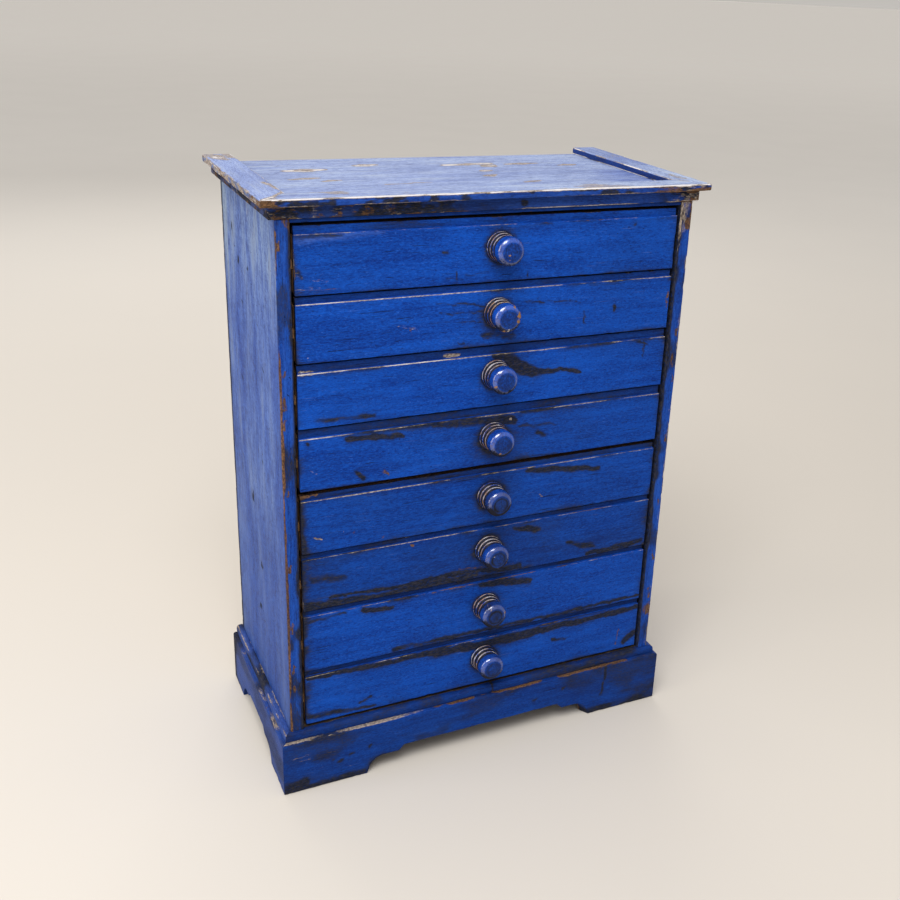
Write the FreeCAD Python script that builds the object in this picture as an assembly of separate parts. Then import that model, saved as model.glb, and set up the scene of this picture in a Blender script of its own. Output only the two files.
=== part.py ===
# Painted wooden bank of eight drawers for a table top, in millimetres.
# X runs to the right, Y to the back and Z up. The origin is on the floor, under the middle of the whole.

import FreeCAD, Part
import math
import os

Vector = FreeCAD.Vector

# Case
case_width = 415.0
case_depth = 213.0
side_thickness = 13.0
side_foot = 30.0                # the side boards stop this far above the floor
bottom_thickness = 10.0
housing_depth = 5.0             # how far the bottom board is let into each side
back_thickness = 8.0
back_lap = 7.0                  # width of the rebate that takes the back panel
top_thickness = 11.6
top_side_lap = 6.0
top_front_lap = 1.5
top_back_lap = 13.0
top_rail_height = 3.5
top_rail_depth = 24.0
top_rail_setback = 1.5
top_edge_round = 1.5

# Strips that frame the top on three sides
strip_width = 28.0
strip_thickness = 7.0
strip_side_lap = 13.5           # from the case side to the nose of the strip
strip_front_lap = 9.5
strip_round = 1.2

# Base: a mitred moulding over a mitred plinth with bracket feet
front_notch = 3.0               # the sides are cut back for the plinth and the moulding
moulding_height = 9.0
moulding_thickness = 7.0
moulding_round = 4.0
plinth_height = 59.5
plinth_thickness = 11.0
plinth_round = 2.0
foot_front_length = 87.0        # bracket feet, measured along the front of the plinth
foot_side_length = 52.0         # front feet, measured along the side
foot_back_length = 41.0         # back feet, measured along the side
foot_shelf_front = 15.0         # flat between the cove and the step
foot_shelf_side = 8.0
cove_radius = 20.0
cove_rise = 18.0
foot_step = 6.0                 # rise and run of the small step above the cove
plinth_back_foot = 42.0
block_size = 20.0               # glue blocks in the corners of the base
block_floor_gap = 2.0

# Drawers, numbered from the top
drawer_count = 8
front_height = 60.3
deep_front_height = 66.5
deep_drawer = 7
front_gap = 1.6                 # between two fronts
wide_gap = 4.6                  # where one drawer hangs low
wide_gap_drawer = 4
top_gap = 3.1
bottom_gap = 3.5
end_gap = 3.0                   # between a front and the side board
front_inset = 1.0
front_thickness = 14.0
front_chamfer = 0.8
front_lap = 7.0                 # wood left in front of the drawer sides
ledge_depth = 3.0               # the upper edge of each front is cut back by this
ledge_height = 8.0
drawer_back_gap = 4.0           # from the back of a drawer to the back panel
drawer_side_thickness = 10.0
drawer_side_rise = 1.5          # from the foot of the front to the foot of the side
drawer_side_drop = 8.5          # from the top of the front to the top of the side
drawer_back_thickness = 8.0
drawer_back_drop = 3.0
drawer_bottom_thickness = 4.0
drawer_bottom_rise = 6.0
drawer_bottom_groove = 4.0
ledge_height_shares = (0.85, 0.75, 0.95, 1.0, 0.66, 0.55, 0.55, 0.62)
knob_level_shares = (0.553, 0.545, 0.552, 0.515, 0.528, 0.552, 0.513, 0.545)

# Runners that the drawers hang on
runner_height = 8.0
runner_reach = 5.0              # how far a runner enters the drawer side
groove_rise = 22.0              # from the foot of the front to the groove
runner_top_gap = 0.25
runner_under_gap = 0.5
runner_end_gap = 0.4
stop_gap = 0.3                  # between the front's lap and the end of the runner
fit_gap = 0.1                   # for a drawer bottom in its grooves

# Knobs
knob_head_diameter = 27.0
knob_head_length = 13.6
knob_shoulder = 6.0
knob_shoulder_facets = 3
knob_heel = 3.6                 # chamfer at the back of the head
knob_base_diameter = 29.0
knob_ring_count = 3
knob_ring_width = 4.8
knob_ring_depth = 1.8
knob_ring_taper = 0.7           # each ring is this much smaller in radius than the one behind it
knob_tenon_diameter = 9.0

# Cut nails in the back panel
nail_width = 2.0
nail_length = 24.0
nail_head_width = 4.6
nail_head_thickness = 0.8
nails_per_side = 5
nail_end_margin = 25.0

# Working values
overrun = 5.0                   # how far every cutter passes the wood
near = 0.001

drawer_numbers = range(1, drawer_count + 1)
front_heights = [deep_front_height if n == deep_drawer else front_height for n in drawer_numbers]
gaps_above = [top_gap] + [wide_gap if n == wide_gap_drawer else front_gap for n in drawer_numbers][:-1]
opening_height = sum(front_heights) + sum(gaps_above) + bottom_gap

case_half = case_width / 2
inner_half = case_half - side_thickness
floor_z = plinth_height + moulding_height
opening_top_z = floor_z + opening_height
top_board_z = opening_top_z + top_rail_height
strip_z = top_board_z + top_thickness
arch_height = cove_rise + foot_step
cove_run = math.sqrt(cove_radius ** 2 - (cove_radius - cove_rise) ** 2)

knob_base_length = knob_ring_count * knob_ring_width
knob_reach = knob_base_length + knob_head_length
case_front_y = -(case_depth + top_back_lap + front_inset - knob_reach) / 2
case_back_y = case_front_y + case_depth
top_back_y = case_back_y + top_back_lap
board_front_y = case_front_y + front_notch
panel_y = case_back_y - back_thickness
underside_z = floor_z - bottom_thickness

drawer_half = inner_half - end_gap
drawer_inner_half = drawer_half - drawer_side_thickness
face_y = case_front_y + front_inset
drawer_side_y = face_y + front_lap
drawer_back_y = panel_y - drawer_back_gap
front_back_y = face_y + front_thickness
groove_depth = runner_reach + runner_end_gap
groove_height = runner_height + runner_top_gap + runner_under_gap


def box(x0, x1, y0, y1, z0, z1):
    return Part.makeBox(x1 - x0, y1 - y0, z1 - z0, Vector(x0, y0, z0))


def rod(diameter, length, start, direction):
    return Part.makeCylinder(diameter / 2, length, start, direction)


def mirrored(shape):
    return shape.mirror(Vector(0, 0, 0), Vector(1, 0, 0))


def edges_at(shape, **place):
    """Edges whose ends all lie at the given x, y or z."""
    def lies_there(vertex):
        return all(abs(getattr(vertex.Point, axis) - value) < near for axis, value in place.items())
    return [edge for edge in shape.Edges if all(lies_there(vertex) for vertex in edge.Vertexes)]


def save(name, *solids):
    shape = solids[0] if len(solids) == 1 else Part.makeCompound(list(solids))
    shape.exportStep(os.path.join("parts", name + ".step"))


def mitre_wedge(half_width, front_y, z0, z1):
    """Space in front of the two mitre planes of a frame with this outer corner."""
    corners = [
        Vector(-half_width - overrun, front_y - overrun, z0 - overrun),
        Vector(half_width + overrun, front_y - overrun, z0 - overrun),
        Vector(0, front_y + half_width, z0 - overrun),
    ]
    face = Part.Face(Part.makePolygon(corners + corners[:1]))
    return face.extrude(Vector(0, 0, z1 - z0 + overrun + overrun))


def save_frame(name, front_bar, left_bar, wedge):
    """Mitre a front bar and two side bars and write the three pieces."""
    left = left_bar.cut(wedge).Solids[0]
    save(name + "_front", front_bar.common(wedge).Solids[0])
    save(name + "_left", left)
    save(name + "_right", mirrored(left))


# Case boards

def nail_places():
    """Points on the back where the panel is nailed to the two sides."""
    low = underside_z + nail_end_margin
    high = top_board_z - nail_end_margin
    step = (high - low) / (nails_per_side - 1)
    x = inner_half + back_lap / 2
    return [Vector(side * x, case_back_y, low + step * i) for side in (-1, 1) for i in range(nails_per_side)]


def square_bar(place, width, y0, y1):
    half = width / 2
    return box(place.x - half, place.x + half, y0, y1, place.z - half, place.z + half)


def nail_hole(place):
    return square_bar(place, nail_width, place.y - nail_length, place.y + overrun)


def nail(place):
    shank = square_bar(place, nail_width, place.y - nail_length, place.y)
    head = square_bar(place, nail_head_width, place.y, place.y + nail_head_thickness)
    return shank.fuse(head).Solids[0]


def case_side():
    """Left side board: its front edge shows as a stile beside the drawers."""
    board = box(-case_half, -inner_half, case_front_y, case_back_y, side_foot, top_board_z)
    notch = box(-case_half - overrun, -inner_half + overrun, case_front_y - overrun, board_front_y,
                side_foot - overrun, floor_z)
    housing = box(-inner_half - housing_depth, -inner_half + overrun, board_front_y - overrun, panel_y + overrun,
                  underside_z, floor_z)
    rebate = box(-inner_half - back_lap, -inner_half + overrun, panel_y, case_back_y + overrun,
                 underside_z, top_board_z + overrun)
    board = board.cut(notch).cut(housing).cut(rebate)
    for place in nail_places():
        if place.x < 0:
            board = board.cut(nail_hole(place))
    return board.Solids[0]


def case_bottom():
    reach = inner_half + housing_depth
    return box(-reach, reach, board_front_y, panel_y, underside_z, floor_z)


def back_panel():
    reach = inner_half + back_lap
    panel = box(-reach, reach, panel_y, case_back_y, underside_z, top_board_z)
    for place in nail_places():
        panel = panel.cut(nail_hole(place))
    return panel.Solids[0]


def top_board():
    half = case_half + top_side_lap
    y0 = case_front_y - top_front_lap
    board = box(-half, half, y0, top_back_y, top_board_z, strip_z)
    lower = edges_at(board, y=y0, z=top_board_z)
    lower += edges_at(board, x=-half, z=top_board_z)
    lower += edges_at(board, x=half, z=top_board_z)
    return board.makeFillet(top_edge_round, lower)


def top_rail():
    y0 = case_front_y + top_rail_setback
    return box(-inner_half, inner_half, y0, y0 + top_rail_depth, opening_top_z, top_board_z)


def save_case():
    left = case_side()
    save("side_left", left)
    save("side_right", mirrored(left))
    save("bottom_board", case_bottom())
    save("back_panel", back_panel())
    save("back_nails", *[nail(place) for place in nail_places()])
    save("top_board", top_board())
    save("top_rail", top_rail())


def save_top_strips():
    half = case_half + strip_side_lap
    y0 = case_front_y - strip_front_lap
    z1 = strip_z + strip_thickness
    front = box(-half - overrun, half + overrun, y0, y0 + strip_width, strip_z, z1)
    front = front.makeFillet(strip_round, edges_at(front, y=y0))
    left = box(-half, -half + strip_width, y0 - overrun, top_back_y, strip_z, z1)
    left = left.makeFillet(strip_round, edges_at(left, x=-half, z=z1) + edges_at(left, x=-half, z=strip_z))
    save_frame("top_strip", front, left, mitre_wedge(half, y0, strip_z, z1))


# Base

def save_base_moulding():
    half = case_half + moulding_thickness
    y0 = board_front_y - moulding_thickness
    front = box(-half - overrun, half + overrun, y0, board_front_y, plinth_height, floor_z)
    front = front.makeFillet(moulding_round, edges_at(front, y=y0, z=floor_z))
    left = box(-half, -case_half, y0 - overrun, case_back_y, plinth_height, floor_z)
    left = left.makeFillet(moulding_round, edges_at(left, x=-half, z=floor_z))
    save_frame("base_moulding", front, left, mitre_wedge(half, y0, plinth_height, floor_z))


def foot_points(end, inward, length, shelf):
    """One bracket foot along u: toe, middle and top of its cove, end of the shelf, start of the arch."""
    toe = end + inward * length
    crown = toe + inward * cove_run
    half_turn = math.asin(cove_run / cove_radius) / 2
    middle_u = crown - inward * cove_radius * math.sin(half_turn)
    middle_z = cove_rise - cove_radius + cove_radius * math.cos(half_turn)
    shelf_end = crown + inward * shelf
    return [(toe, 0), (middle_u, middle_z), (crown, cove_rise), (shelf_end, cove_rise),
            (shelf_end + inward * foot_step, arch_height)]


def bracket_face(place, u0, u1, foot0, foot1, shelf):
    """Plinth board outline with two shaped feet; place turns (u, z) into a point."""
    edges = [Part.makeLine(place(u0, plinth_height), place(u1, plinth_height))]
    arch_ends = []
    for end, inward, length in ((u0, 1, foot0), (u1, -1, foot1)):
        toe, middle, crown, shelf_end, arch = [place(*p) for p in foot_points(end, inward, length, shelf)]
        edges.append(Part.makeLine(place(end, plinth_height), place(end, 0)))
        edges.append(Part.makeLine(place(end, 0), toe))
        edges.append(Part.Arc(toe, middle, crown).toShape())
        edges.append(Part.makeLine(crown, shelf_end))
        edges.append(Part.makeLine(shelf_end, arch))
        arch_ends.append(arch)
    edges.append(Part.makeLine(*arch_ends))
    return Part.Face(Part.Wire(Part.sortEdges(edges)[0]))


def save_plinth():
    half = case_half + plinth_thickness
    y0 = board_front_y - plinth_thickness
    front = bracket_face(lambda u, z: Vector(u, y0, z), -half, half, foot_front_length, foot_front_length,
                         foot_shelf_front).extrude(Vector(0, plinth_thickness, 0))
    front = front.makeFillet(plinth_round, edges_at(front, y=y0, z=plinth_height))
    left = bracket_face(lambda u, z: Vector(-half, u, z), y0, case_back_y, foot_side_length, foot_back_length,
                        foot_shelf_side).extrude(Vector(plinth_thickness, 0, 0))
    left = left.makeFillet(plinth_round, edges_at(left, x=-half, z=plinth_height))
    save_frame("plinth", front, left, mitre_wedge(half, y0, 0, plinth_height))


def plinth_back():
    board = box(-inner_half, inner_half, case_back_y - plinth_thickness, case_back_y, 0, underside_z)
    arch_half = inner_half - plinth_back_foot
    arch = box(-arch_half, arch_half, case_back_y - plinth_thickness - overrun, case_back_y + overrun,
               -overrun, arch_height)
    return board.cut(arch).Solids[0]


def glue_blocks():
    blocks = []
    for y0 in (board_front_y, case_back_y - plinth_thickness - block_size):
        block = box(-inner_half, -inner_half + block_size, y0, y0 + block_size, block_floor_gap, underside_z)
        blocks += [block, mirrored(block)]
    return blocks


# Drawers

def drawer_front(z0, height, ledge, knob_z):
    z1 = z0 + height
    front = box(-drawer_half, drawer_half, face_y, front_back_y, z0, z1)
    ledge_cut = box(-drawer_half - overrun, drawer_half + overrun, face_y - overrun, face_y + ledge_depth,
                    z1 - ledge, z1 + overrun)
    front = front.cut(ledge_cut)
    front = front.makeChamfer(front_chamfer, edges_at(front, y=face_y))
    end = box(drawer_inner_half, drawer_half + overrun, drawer_side_y, front_back_y + overrun,
              z0 - overrun, z1 + overrun)
    groove_z = z0 + drawer_bottom_rise
    groove = box(-drawer_inner_half - overrun, drawer_inner_half + overrun, front_back_y - drawer_bottom_groove,
                 front_back_y + overrun, groove_z, groove_z + drawer_bottom_thickness)
    hole = rod(knob_tenon_diameter, front_thickness + overrun + overrun, Vector(0, face_y - overrun, knob_z),
               Vector(0, 1, 0))
    return front.cut(end).cut(mirrored(end)).cut(groove).cut(hole).Solids[0]


def drawer_side(z0, height):
    """Left side of a drawer, with the groove that hangs on the runner."""
    side = box(-drawer_half, -drawer_inner_half, drawer_side_y, drawer_back_y,
               z0 + drawer_side_rise, z0 + height - drawer_side_drop)
    runner_groove = box(-drawer_half - overrun, -drawer_half + groove_depth, drawer_side_y - overrun,
                        drawer_back_y + overrun, z0 + groove_rise, z0 + groove_rise + groove_height)
    groove_z = z0 + drawer_bottom_rise
    bottom_groove = box(-drawer_inner_half - drawer_bottom_groove, -drawer_inner_half + overrun,
                        drawer_side_y - overrun, drawer_back_y + overrun,
                        groove_z, groove_z + drawer_bottom_thickness)
    return side.cut(runner_groove).cut(bottom_groove).Solids[0]


def drawer_back(z0, height):
    return box(-drawer_inner_half, drawer_inner_half, drawer_back_y - drawer_back_thickness, drawer_back_y,
               z0 + drawer_bottom_rise + drawer_bottom_thickness,
               z0 + height - drawer_side_drop - drawer_back_drop)


def drawer_bottom(z0):
    reach = drawer_inner_half + drawer_bottom_groove - fit_gap
    return box(-reach, reach, front_back_y - drawer_bottom_groove + fit_gap, drawer_back_y,
               z0 + drawer_bottom_rise, z0 + drawer_bottom_rise + drawer_bottom_thickness)


def knob_half_section():
    """Half outline of a knob: radius against distance in front of the drawer face."""
    base = knob_base_diameter / 2
    head = knob_head_diameter / 2
    tenon = knob_tenon_diameter / 2
    points = [(0, -front_thickness), (tenon, -front_thickness), (tenon, 0), (base - knob_ring_depth, 0)]
    for ring in range(knob_ring_count):
        out = ring * knob_ring_width
        crest = base - ring * knob_ring_taper
        points.append((crest, out + knob_ring_width / 2))
        points.append((crest - knob_ring_depth, out + knob_ring_width))
    points.append((head, knob_base_length + knob_heel))
    for step in range(knob_shoulder_facets + 1):
        turn = math.radians(90 * step / knob_shoulder_facets)
        points.append((head - knob_shoulder * (1 - math.cos(turn)),
                       knob_reach - knob_shoulder * (1 - math.sin(turn))))
    points.append((0, knob_reach))
    corners = [Vector(radius, -out, 0) for radius, out in points]
    return Part.Face(Part.makePolygon(corners + corners[:1]))


def knob(z):
    turned = knob_half_section().revolve(Vector(0, 0, 0), Vector(0, 1, 0), 360)
    turned.translate(Vector(0, face_y, z))
    return turned


def runner(z0):
    bottom = z0 + groove_rise + runner_under_gap
    return box(-inner_half, -drawer_half + runner_reach, drawer_side_y + stop_gap, panel_y,
               bottom, bottom + runner_height)


def save_drawers():
    runners = []
    top = opening_top_z
    table = zip(drawer_numbers, front_heights, gaps_above, ledge_height_shares, knob_level_shares)
    for number, height, gap, ledge_share, knob_share in table:
        z0 = top - gap - height
        knob_z = z0 + height * knob_share
        name = "drawer_%d_" % number
        side = drawer_side(z0, height)
        save(name + "front", drawer_front(z0, height, ledge_height * ledge_share, knob_z))
        save(name + "sides", side, mirrored(side))
        save(name + "back", drawer_back(z0, height))
        save(name + "bottom", drawer_bottom(z0))
        save(name + "knob", knob(knob_z))
        runners.append(runner(z0))
        top = z0
    save("runners_left", *runners)
    save("runners_right", *[mirrored(r) for r in runners])


os.makedirs("parts", exist_ok=True)
save_case()
save_top_strips()
save_base_moulding()
save_plinth()
save("plinth_back", plinth_back())
save("glue_blocks", *glue_blocks())
save_drawers()
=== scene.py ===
import collections
import itertools
import math

import bpy
import numpy as np
from mathutils import Matrix, Vector


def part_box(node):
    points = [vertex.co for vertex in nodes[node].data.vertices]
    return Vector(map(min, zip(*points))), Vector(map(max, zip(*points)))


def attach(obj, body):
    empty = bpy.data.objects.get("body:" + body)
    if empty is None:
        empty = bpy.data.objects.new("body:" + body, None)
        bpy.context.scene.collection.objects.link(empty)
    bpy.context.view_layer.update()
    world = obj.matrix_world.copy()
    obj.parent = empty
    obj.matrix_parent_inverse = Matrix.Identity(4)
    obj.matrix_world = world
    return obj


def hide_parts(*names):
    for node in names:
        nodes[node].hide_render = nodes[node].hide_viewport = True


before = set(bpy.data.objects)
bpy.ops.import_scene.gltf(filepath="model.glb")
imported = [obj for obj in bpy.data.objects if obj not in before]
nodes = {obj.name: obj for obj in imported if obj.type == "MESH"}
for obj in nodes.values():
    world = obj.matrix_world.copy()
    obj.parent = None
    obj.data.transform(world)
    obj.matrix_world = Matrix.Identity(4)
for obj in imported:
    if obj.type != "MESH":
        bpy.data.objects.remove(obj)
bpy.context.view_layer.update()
MM = 0.001


def box_mm(node):
    """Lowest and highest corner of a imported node, in millimetres."""
    lo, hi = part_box(node)
    return np.array(lo) / MM, np.array(hi) / MM


# Noise on points

def value_noise(points, seed):
    """Smooth random values from 0 to 1, one cell to a unit."""
    base = np.floor(points)
    part = points - base
    part = part * part * (3 - 2 * part)
    cell = base.astype(np.int64)
    total = np.zeros(len(points))
    for corner in itertools.product((0, 1), repeat=3):
        at = cell + np.array(corner)
        h = (at[:, 0] * 73856093) ^ (at[:, 1] * 19349663) ^ (at[:, 2] * 83492791) ^ (seed * 971215073)
        h = (h ^ (h >> 13)) * 1274126177
        h = h ^ (h >> 16)
        weight = np.prod([part[:, k] if corner[k] else 1 - part[:, k] for k in range(3)], axis=0)
        total += weight * ((h & 0xFFFFF) / 0xFFFFF)
    return total


def fbm(points, cell, seed, octaves=3):
    """Layered noise from 0 to 1; cell is the largest feature, one number or three."""
    scaled = points / np.array(cell, float)
    total, weight, share = 0.0, 0.0, 1.0
    for octave in range(octaves):
        total = total + share * value_noise(scaled * 2 ** octave, seed + 17 * octave)
        weight += share
        share *= 0.5
    return total / weight


def smooth(x, low, high):
    """0 at low, 1 at high and a soft step between; low may be the larger one."""
    t = np.clip((x - low) / (high - low), 0, 1)
    return t * t * (3 - 2 * t)


def fall(distance, reach, power=1.0):
    """1 at distance 0 and below, fading out over reach."""
    return np.exp(-(np.maximum(distance, 0) / reach) ** power)


def band(distance, reach, power=2.0):
    """1 at distance 0, fading out over reach to both sides."""
    return np.exp(-(np.abs(distance) / reach) ** power)


# Board meshes

RIM_STEPS = (0.5, 1.2, 2.2, 3.6)
CORNER_POINTS = 5


class Board:
    """Points, outward normals and faces of one wooden piece, and how far each point is from the arrises."""

    def __init__(self, points, normals, far, faces):
        self.points = points
        self.normals = normals
        self.far = far
        self.faces = faces
        self.chips = np.zeros(len(points))


def spread(start, end, step, rim_start=True, rim_end=True):
    """Places from start to end, closer together at the rims."""
    length = end - start
    rim = [r for r in RIM_STEPS if r < length * 0.3]
    low = [start + r for r in rim] if rim_start else []
    high = [end - r for r in reversed(rim)] if rim_end else []
    inner_start = low[-1] if low else start
    inner_end = high[0] if high else end
    count = max(1, int(round((inner_end - inner_start) / step)))
    inner = list(np.linspace(inner_start, inner_end, count + 1))[1:-1]
    return low + inner + high


def whole(start, end, step):
    """As spread, with both ends."""
    return [start] + spread(start, end, step) + [end]


def profile(corners):
    """Closed outline with rounded corners. corners: (a, b, radius, step along the side that follows).
    Returns points, outward normals and the distance of each point from the nearest outward corner."""
    n = len(corners)
    ab = np.array([c[:2] for c in corners], float)
    area = sum(ab[i][0] * ab[(i + 1) % n][1] - ab[(i + 1) % n][0] * ab[i][1] for i in range(n))
    turn = 1 if area > 0 else -1
    ahead, side_normal = [], []
    for i in range(n):
        side = ab[(i + 1) % n] - ab[i]
        side = side / np.linalg.norm(side)
        ahead.append(side)
        side_normal.append(turn * np.array([side[1], -side[0]]))
    entry, leave, out_corner = [], [], []
    for i in range(n):
        before, after = ahead[i - 1], ahead[i]
        cut = corners[i][2] * math.tan(math.acos(np.clip(before @ after, -1, 1)) / 2)
        entry.append(ab[i] - before * cut)
        leave.append(ab[i] + after * cut)
        out_corner.append(turn * (before[0] * after[1] - before[1] * after[0]) > 0.1)
    points, normals = [], []
    for i in range(n):
        shares = np.linspace(0, 1, CORNER_POINTS) if corners[i][2] > 0 else [0.5]
        for t in shares:
            m = (1 - t) * side_normal[i - 1] + t * side_normal[i]
            points.append((1 - t) ** 2 * entry[i] + 2 * t * (1 - t) * ab[i] + t ** 2 * leave[i])
            normals.append(m / np.linalg.norm(m))
        length = np.linalg.norm(entry[(i + 1) % n] - leave[i])
        for q in spread(0, length, corners[i][3]):
            points.append(leave[i] + ahead[i] * q)
            normals.append(side_normal[i])
    points, normals = np.array(points), np.array(normals)
    outer = ab[np.array(out_corner)]
    far = np.min(np.linalg.norm(points[:, None] - outer[None], axis=2), axis=1)
    return points, normals, far


def loft(outline, stations, axes, start=None, end=None, ends_round=0.6, shift=None):
    """Carries an outline along an axis. axes: what the length and the outline's two numbers follow.
    start and end may be functions of the outline's points, for mitres. shift(station, points) may change
    the outline."""
    pts, normals, far = outline
    k = len(pts)
    stations = np.array(stations, float)
    count = len(stations)
    first, last = stations[0], stations[-1]
    s0 = np.full(k, first) if start is None else start(pts)
    s1 = np.full(k, last) if end is None else end(pts)
    soft_ends = ends_round > 0.35
    points, outward = np.zeros((count, k, 3)), np.zeros((count, k, 3))
    depth = np.zeros((count, k))
    for i, s in enumerate(stations):
        from_end = min(s - first, last - s)
        inset = 0.0
        if from_end < ends_round:
            inset = ends_round - math.sqrt(max(0.0, ends_round ** 2 - (ends_round - from_end) ** 2))
        section = pts if shift is None else shift(s, pts)
        section = section - normals * inset
        points[i, :, axes[0]] = s0 + (s - first) / (last - first) * (s1 - s0)
        points[i][:, axes[1:]] = section
        outward[i][:, axes[1:]] = normals
        depth[i] = np.minimum(far, from_end if soft_ends else 99.0)
    faces = []
    for i in range(count - 1):
        for j in range(k):
            q = (j + 1) % k
            faces.append((i * k + j, i * k + q, (i + 1) * k + q, (i + 1) * k + j))
    faces.append(tuple(range(k))[::-1])
    faces.append(tuple((count - 1) * k + j for j in range(k)))
    return Board(points.reshape(-1, 3), outward.reshape(-1, 3), depth.ravel(), faces)


def rounded_box(lo, hi, radius, steps):
    """Box with rounded edges and an even grid on all six faces."""
    arc = [radius * (1 - math.cos(math.radians(a))) for a in (0, 30, 60, 90)]
    ticks = []
    for k in range(3):
        low = [lo[k] + r for r in arc]
        high = [hi[k] - r for r in reversed(arc)]
        ticks.append(low + spread(low[-1], high[0], steps[k]) + high)
    index, points, faces = {}, [], []

    def vertex(key):
        if key not in index:
            index[key] = len(points)
            points.append([ticks[k][key[k]] for k in range(3)])
        return index[key]
    size = [len(t) for t in ticks]
    for axis in range(3):
        u, v = (axis + 1) % 3, (axis + 2) % 3
        for side, i, j in itertools.product((0, size[axis] - 1), range(size[u] - 1), range(size[v] - 1)):
            quad = []
            for di, dj in ((0, 0), (1, 0), (1, 1), (0, 1)):
                at = [0, 0, 0]
                at[axis], at[u], at[v] = side, i + di, j + dj
                quad.append(vertex(tuple(at)))
            faces.append(tuple(quad if side else quad[::-1]))
    p = np.array(points)
    inner = np.clip(p, lo + radius, hi - radius)
    out = p - inner
    length = np.linalg.norm(out, axis=1)
    n = out / np.maximum(length, 1e-9)[:, None]
    depth = np.stack([p - lo, hi - p], axis=2).min(axis=2)
    return Board(inner + n * radius, n, np.sort(depth, axis=1)[:, 1], faces)


def erode(board, seed, amount=0.5, bite=1.2, reach=2.6, wave=0.0):
    """Wears the arrises unevenly and bites small chips out of them; everything moves inwards only."""
    p = board.points
    edge = np.clip(1 - board.far / reach, 0, 1) ** 1.5
    rough = fbm(p, 9.0, seed, 3)
    chips = smooth(fbm(p, 13.0, seed + 5, 3), 0.6, 0.74)
    inwards = edge * (amount * rough + bite * chips)
    if wave:
        inwards = inwards + wave * fbm(p, 60.0, seed + 9, 2) * np.clip(board.far / 3, 0, 1)
    board.points = p - board.normals * inwards[:, None]
    board.chips = edge * chips


# Wear masks: rub (pale undercoat), bare (brown wood), grime (dirt and painted shade) and chalk (faded paint
# and painted sheen)

def stroke(u, v, rows):
    """How deep a point lies in a brush-like mark: 1 in the middle, 0 outside. rows: (u, v, half width)."""
    best = np.zeros(len(u))
    rows = rows if len(rows) > 1 else rows * 2
    for (u0, v0, w0), (u1, v1, w1) in zip(rows[:-1], rows[1:]):
        du, dv = u1 - u0, v1 - v0
        square = max(du * du + dv * dv, 1e-9)
        t = np.clip(((u - u0) * du + (v - v0) * dv) / square, 0, 1)
        gap = np.hypot(u - u0 - t * du, v - v0 - t * dv)
        width = w0 + t * (w1 - w0)
        best = np.maximum(best, 1 - smooth(gap / width, 0.15, 1.6))
    return best


class Wear:
    """The four masks of one board, and how bright its paint is (tone). The third mask holds dirt and also
    painted shade in gaps and under overhangs; the fourth holds pale, washed-out paint and also painted sheen
    on the top and the sides, and on the knobs says how much a place is handled."""

    SHIFT = 2.4
    MASK_TOP = 1.5
    HALO_WIDTH, HALO_STRENGTH = 2.6, 0.36

    def __init__(self, board, seed, rub=0.75, bare=0.35, grime_and_shade=0.2, line=1.3):
        self.board, self.seed = board, seed
        edge = fall(board.far - 0.2, line, 1.6)
        patch = self.noise(26.0, seed + 31)
        patch2 = self.noise(40.0, seed + 47)
        self.rub = edge * rub * smooth(patch, 0.3, 0.62) + 0.5 * board.chips
        self.bare = edge * bare * smooth(patch2, 0.42, 0.66) + 0.7 * board.chips * (patch > 0.5)
        around_edges = 0.8 * fall(board.far, 6.0, 1.3) * smooth(patch2, 0.35, 0.7)
        self.grime_and_shade = grime_and_shade * (0.45 * self.patches(70.0, seed + 61, 0.45, 0.75, 4) + around_edges)
        self.chalk_and_sheen = np.zeros(len(board.points))
        self.tone = np.ones(len(board.points))
        wide = [value_noise(board.points / 9.0, seed + k) - 0.5 for k in (200, 201)]
        fine = [value_noise(board.points / 3.4, seed + k) - 0.5 for k in (202, 203)]
        self.shift_u = self.SHIFT * (1.6 * wide[0] + 0.7 * fine[0])
        self.shift_v = self.SHIFT * (1.1 * wide[1] + 0.6 * fine[1])
        self.broken = 0.40 + 1.2 * self.noise((16.0, 10.0, 5.0), seed + 210, 4)

    def noise(self, cell, seed, octaves=3):
        return fbm(self.board.points, cell, seed, octaves)

    def patches(self, cell, seed, low, high, octaves=3):
        """Noise on the board cut into soft patches: 0 below low, 1 above high."""
        return smooth(self.noise(cell, seed, octaves), low, high)

    def put(self, kind, where, value):
        setattr(self, kind, np.where(where, value, getattr(self, kind)))

    def add(self, kind, value):
        setattr(self, kind, np.clip(getattr(self, kind) + value, 0, self.MASK_TOP))

    def add_patches(self, kind, value, *patches):
        self.add(kind, value * self.patches(*patches))

    def mark(self, kind, u, v, rows, strength, where=1.0):
        """A listed mark with an uneven rim; grime gets a soft halo too."""
        u, v = u + self.shift_u, v + self.shift_v
        value = stroke(u, v, rows) * strength * self.broken
        if kind == "grime_and_shade":
            halo = [(a, b, half_width * self.HALO_WIDTH) for a, b, half_width in rows]
            value = np.maximum(value, self.HALO_STRENGTH * strength * stroke(u, v, halo) * self.broken)
        setattr(self, kind, np.maximum(getattr(self, kind), value * where))

    def table(self):
        masks = np.stack([self.rub, self.bare, self.grime_and_shade, self.chalk_and_sheen], axis=1)
        return np.clip(masks, 0, self.MASK_TOP)


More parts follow.
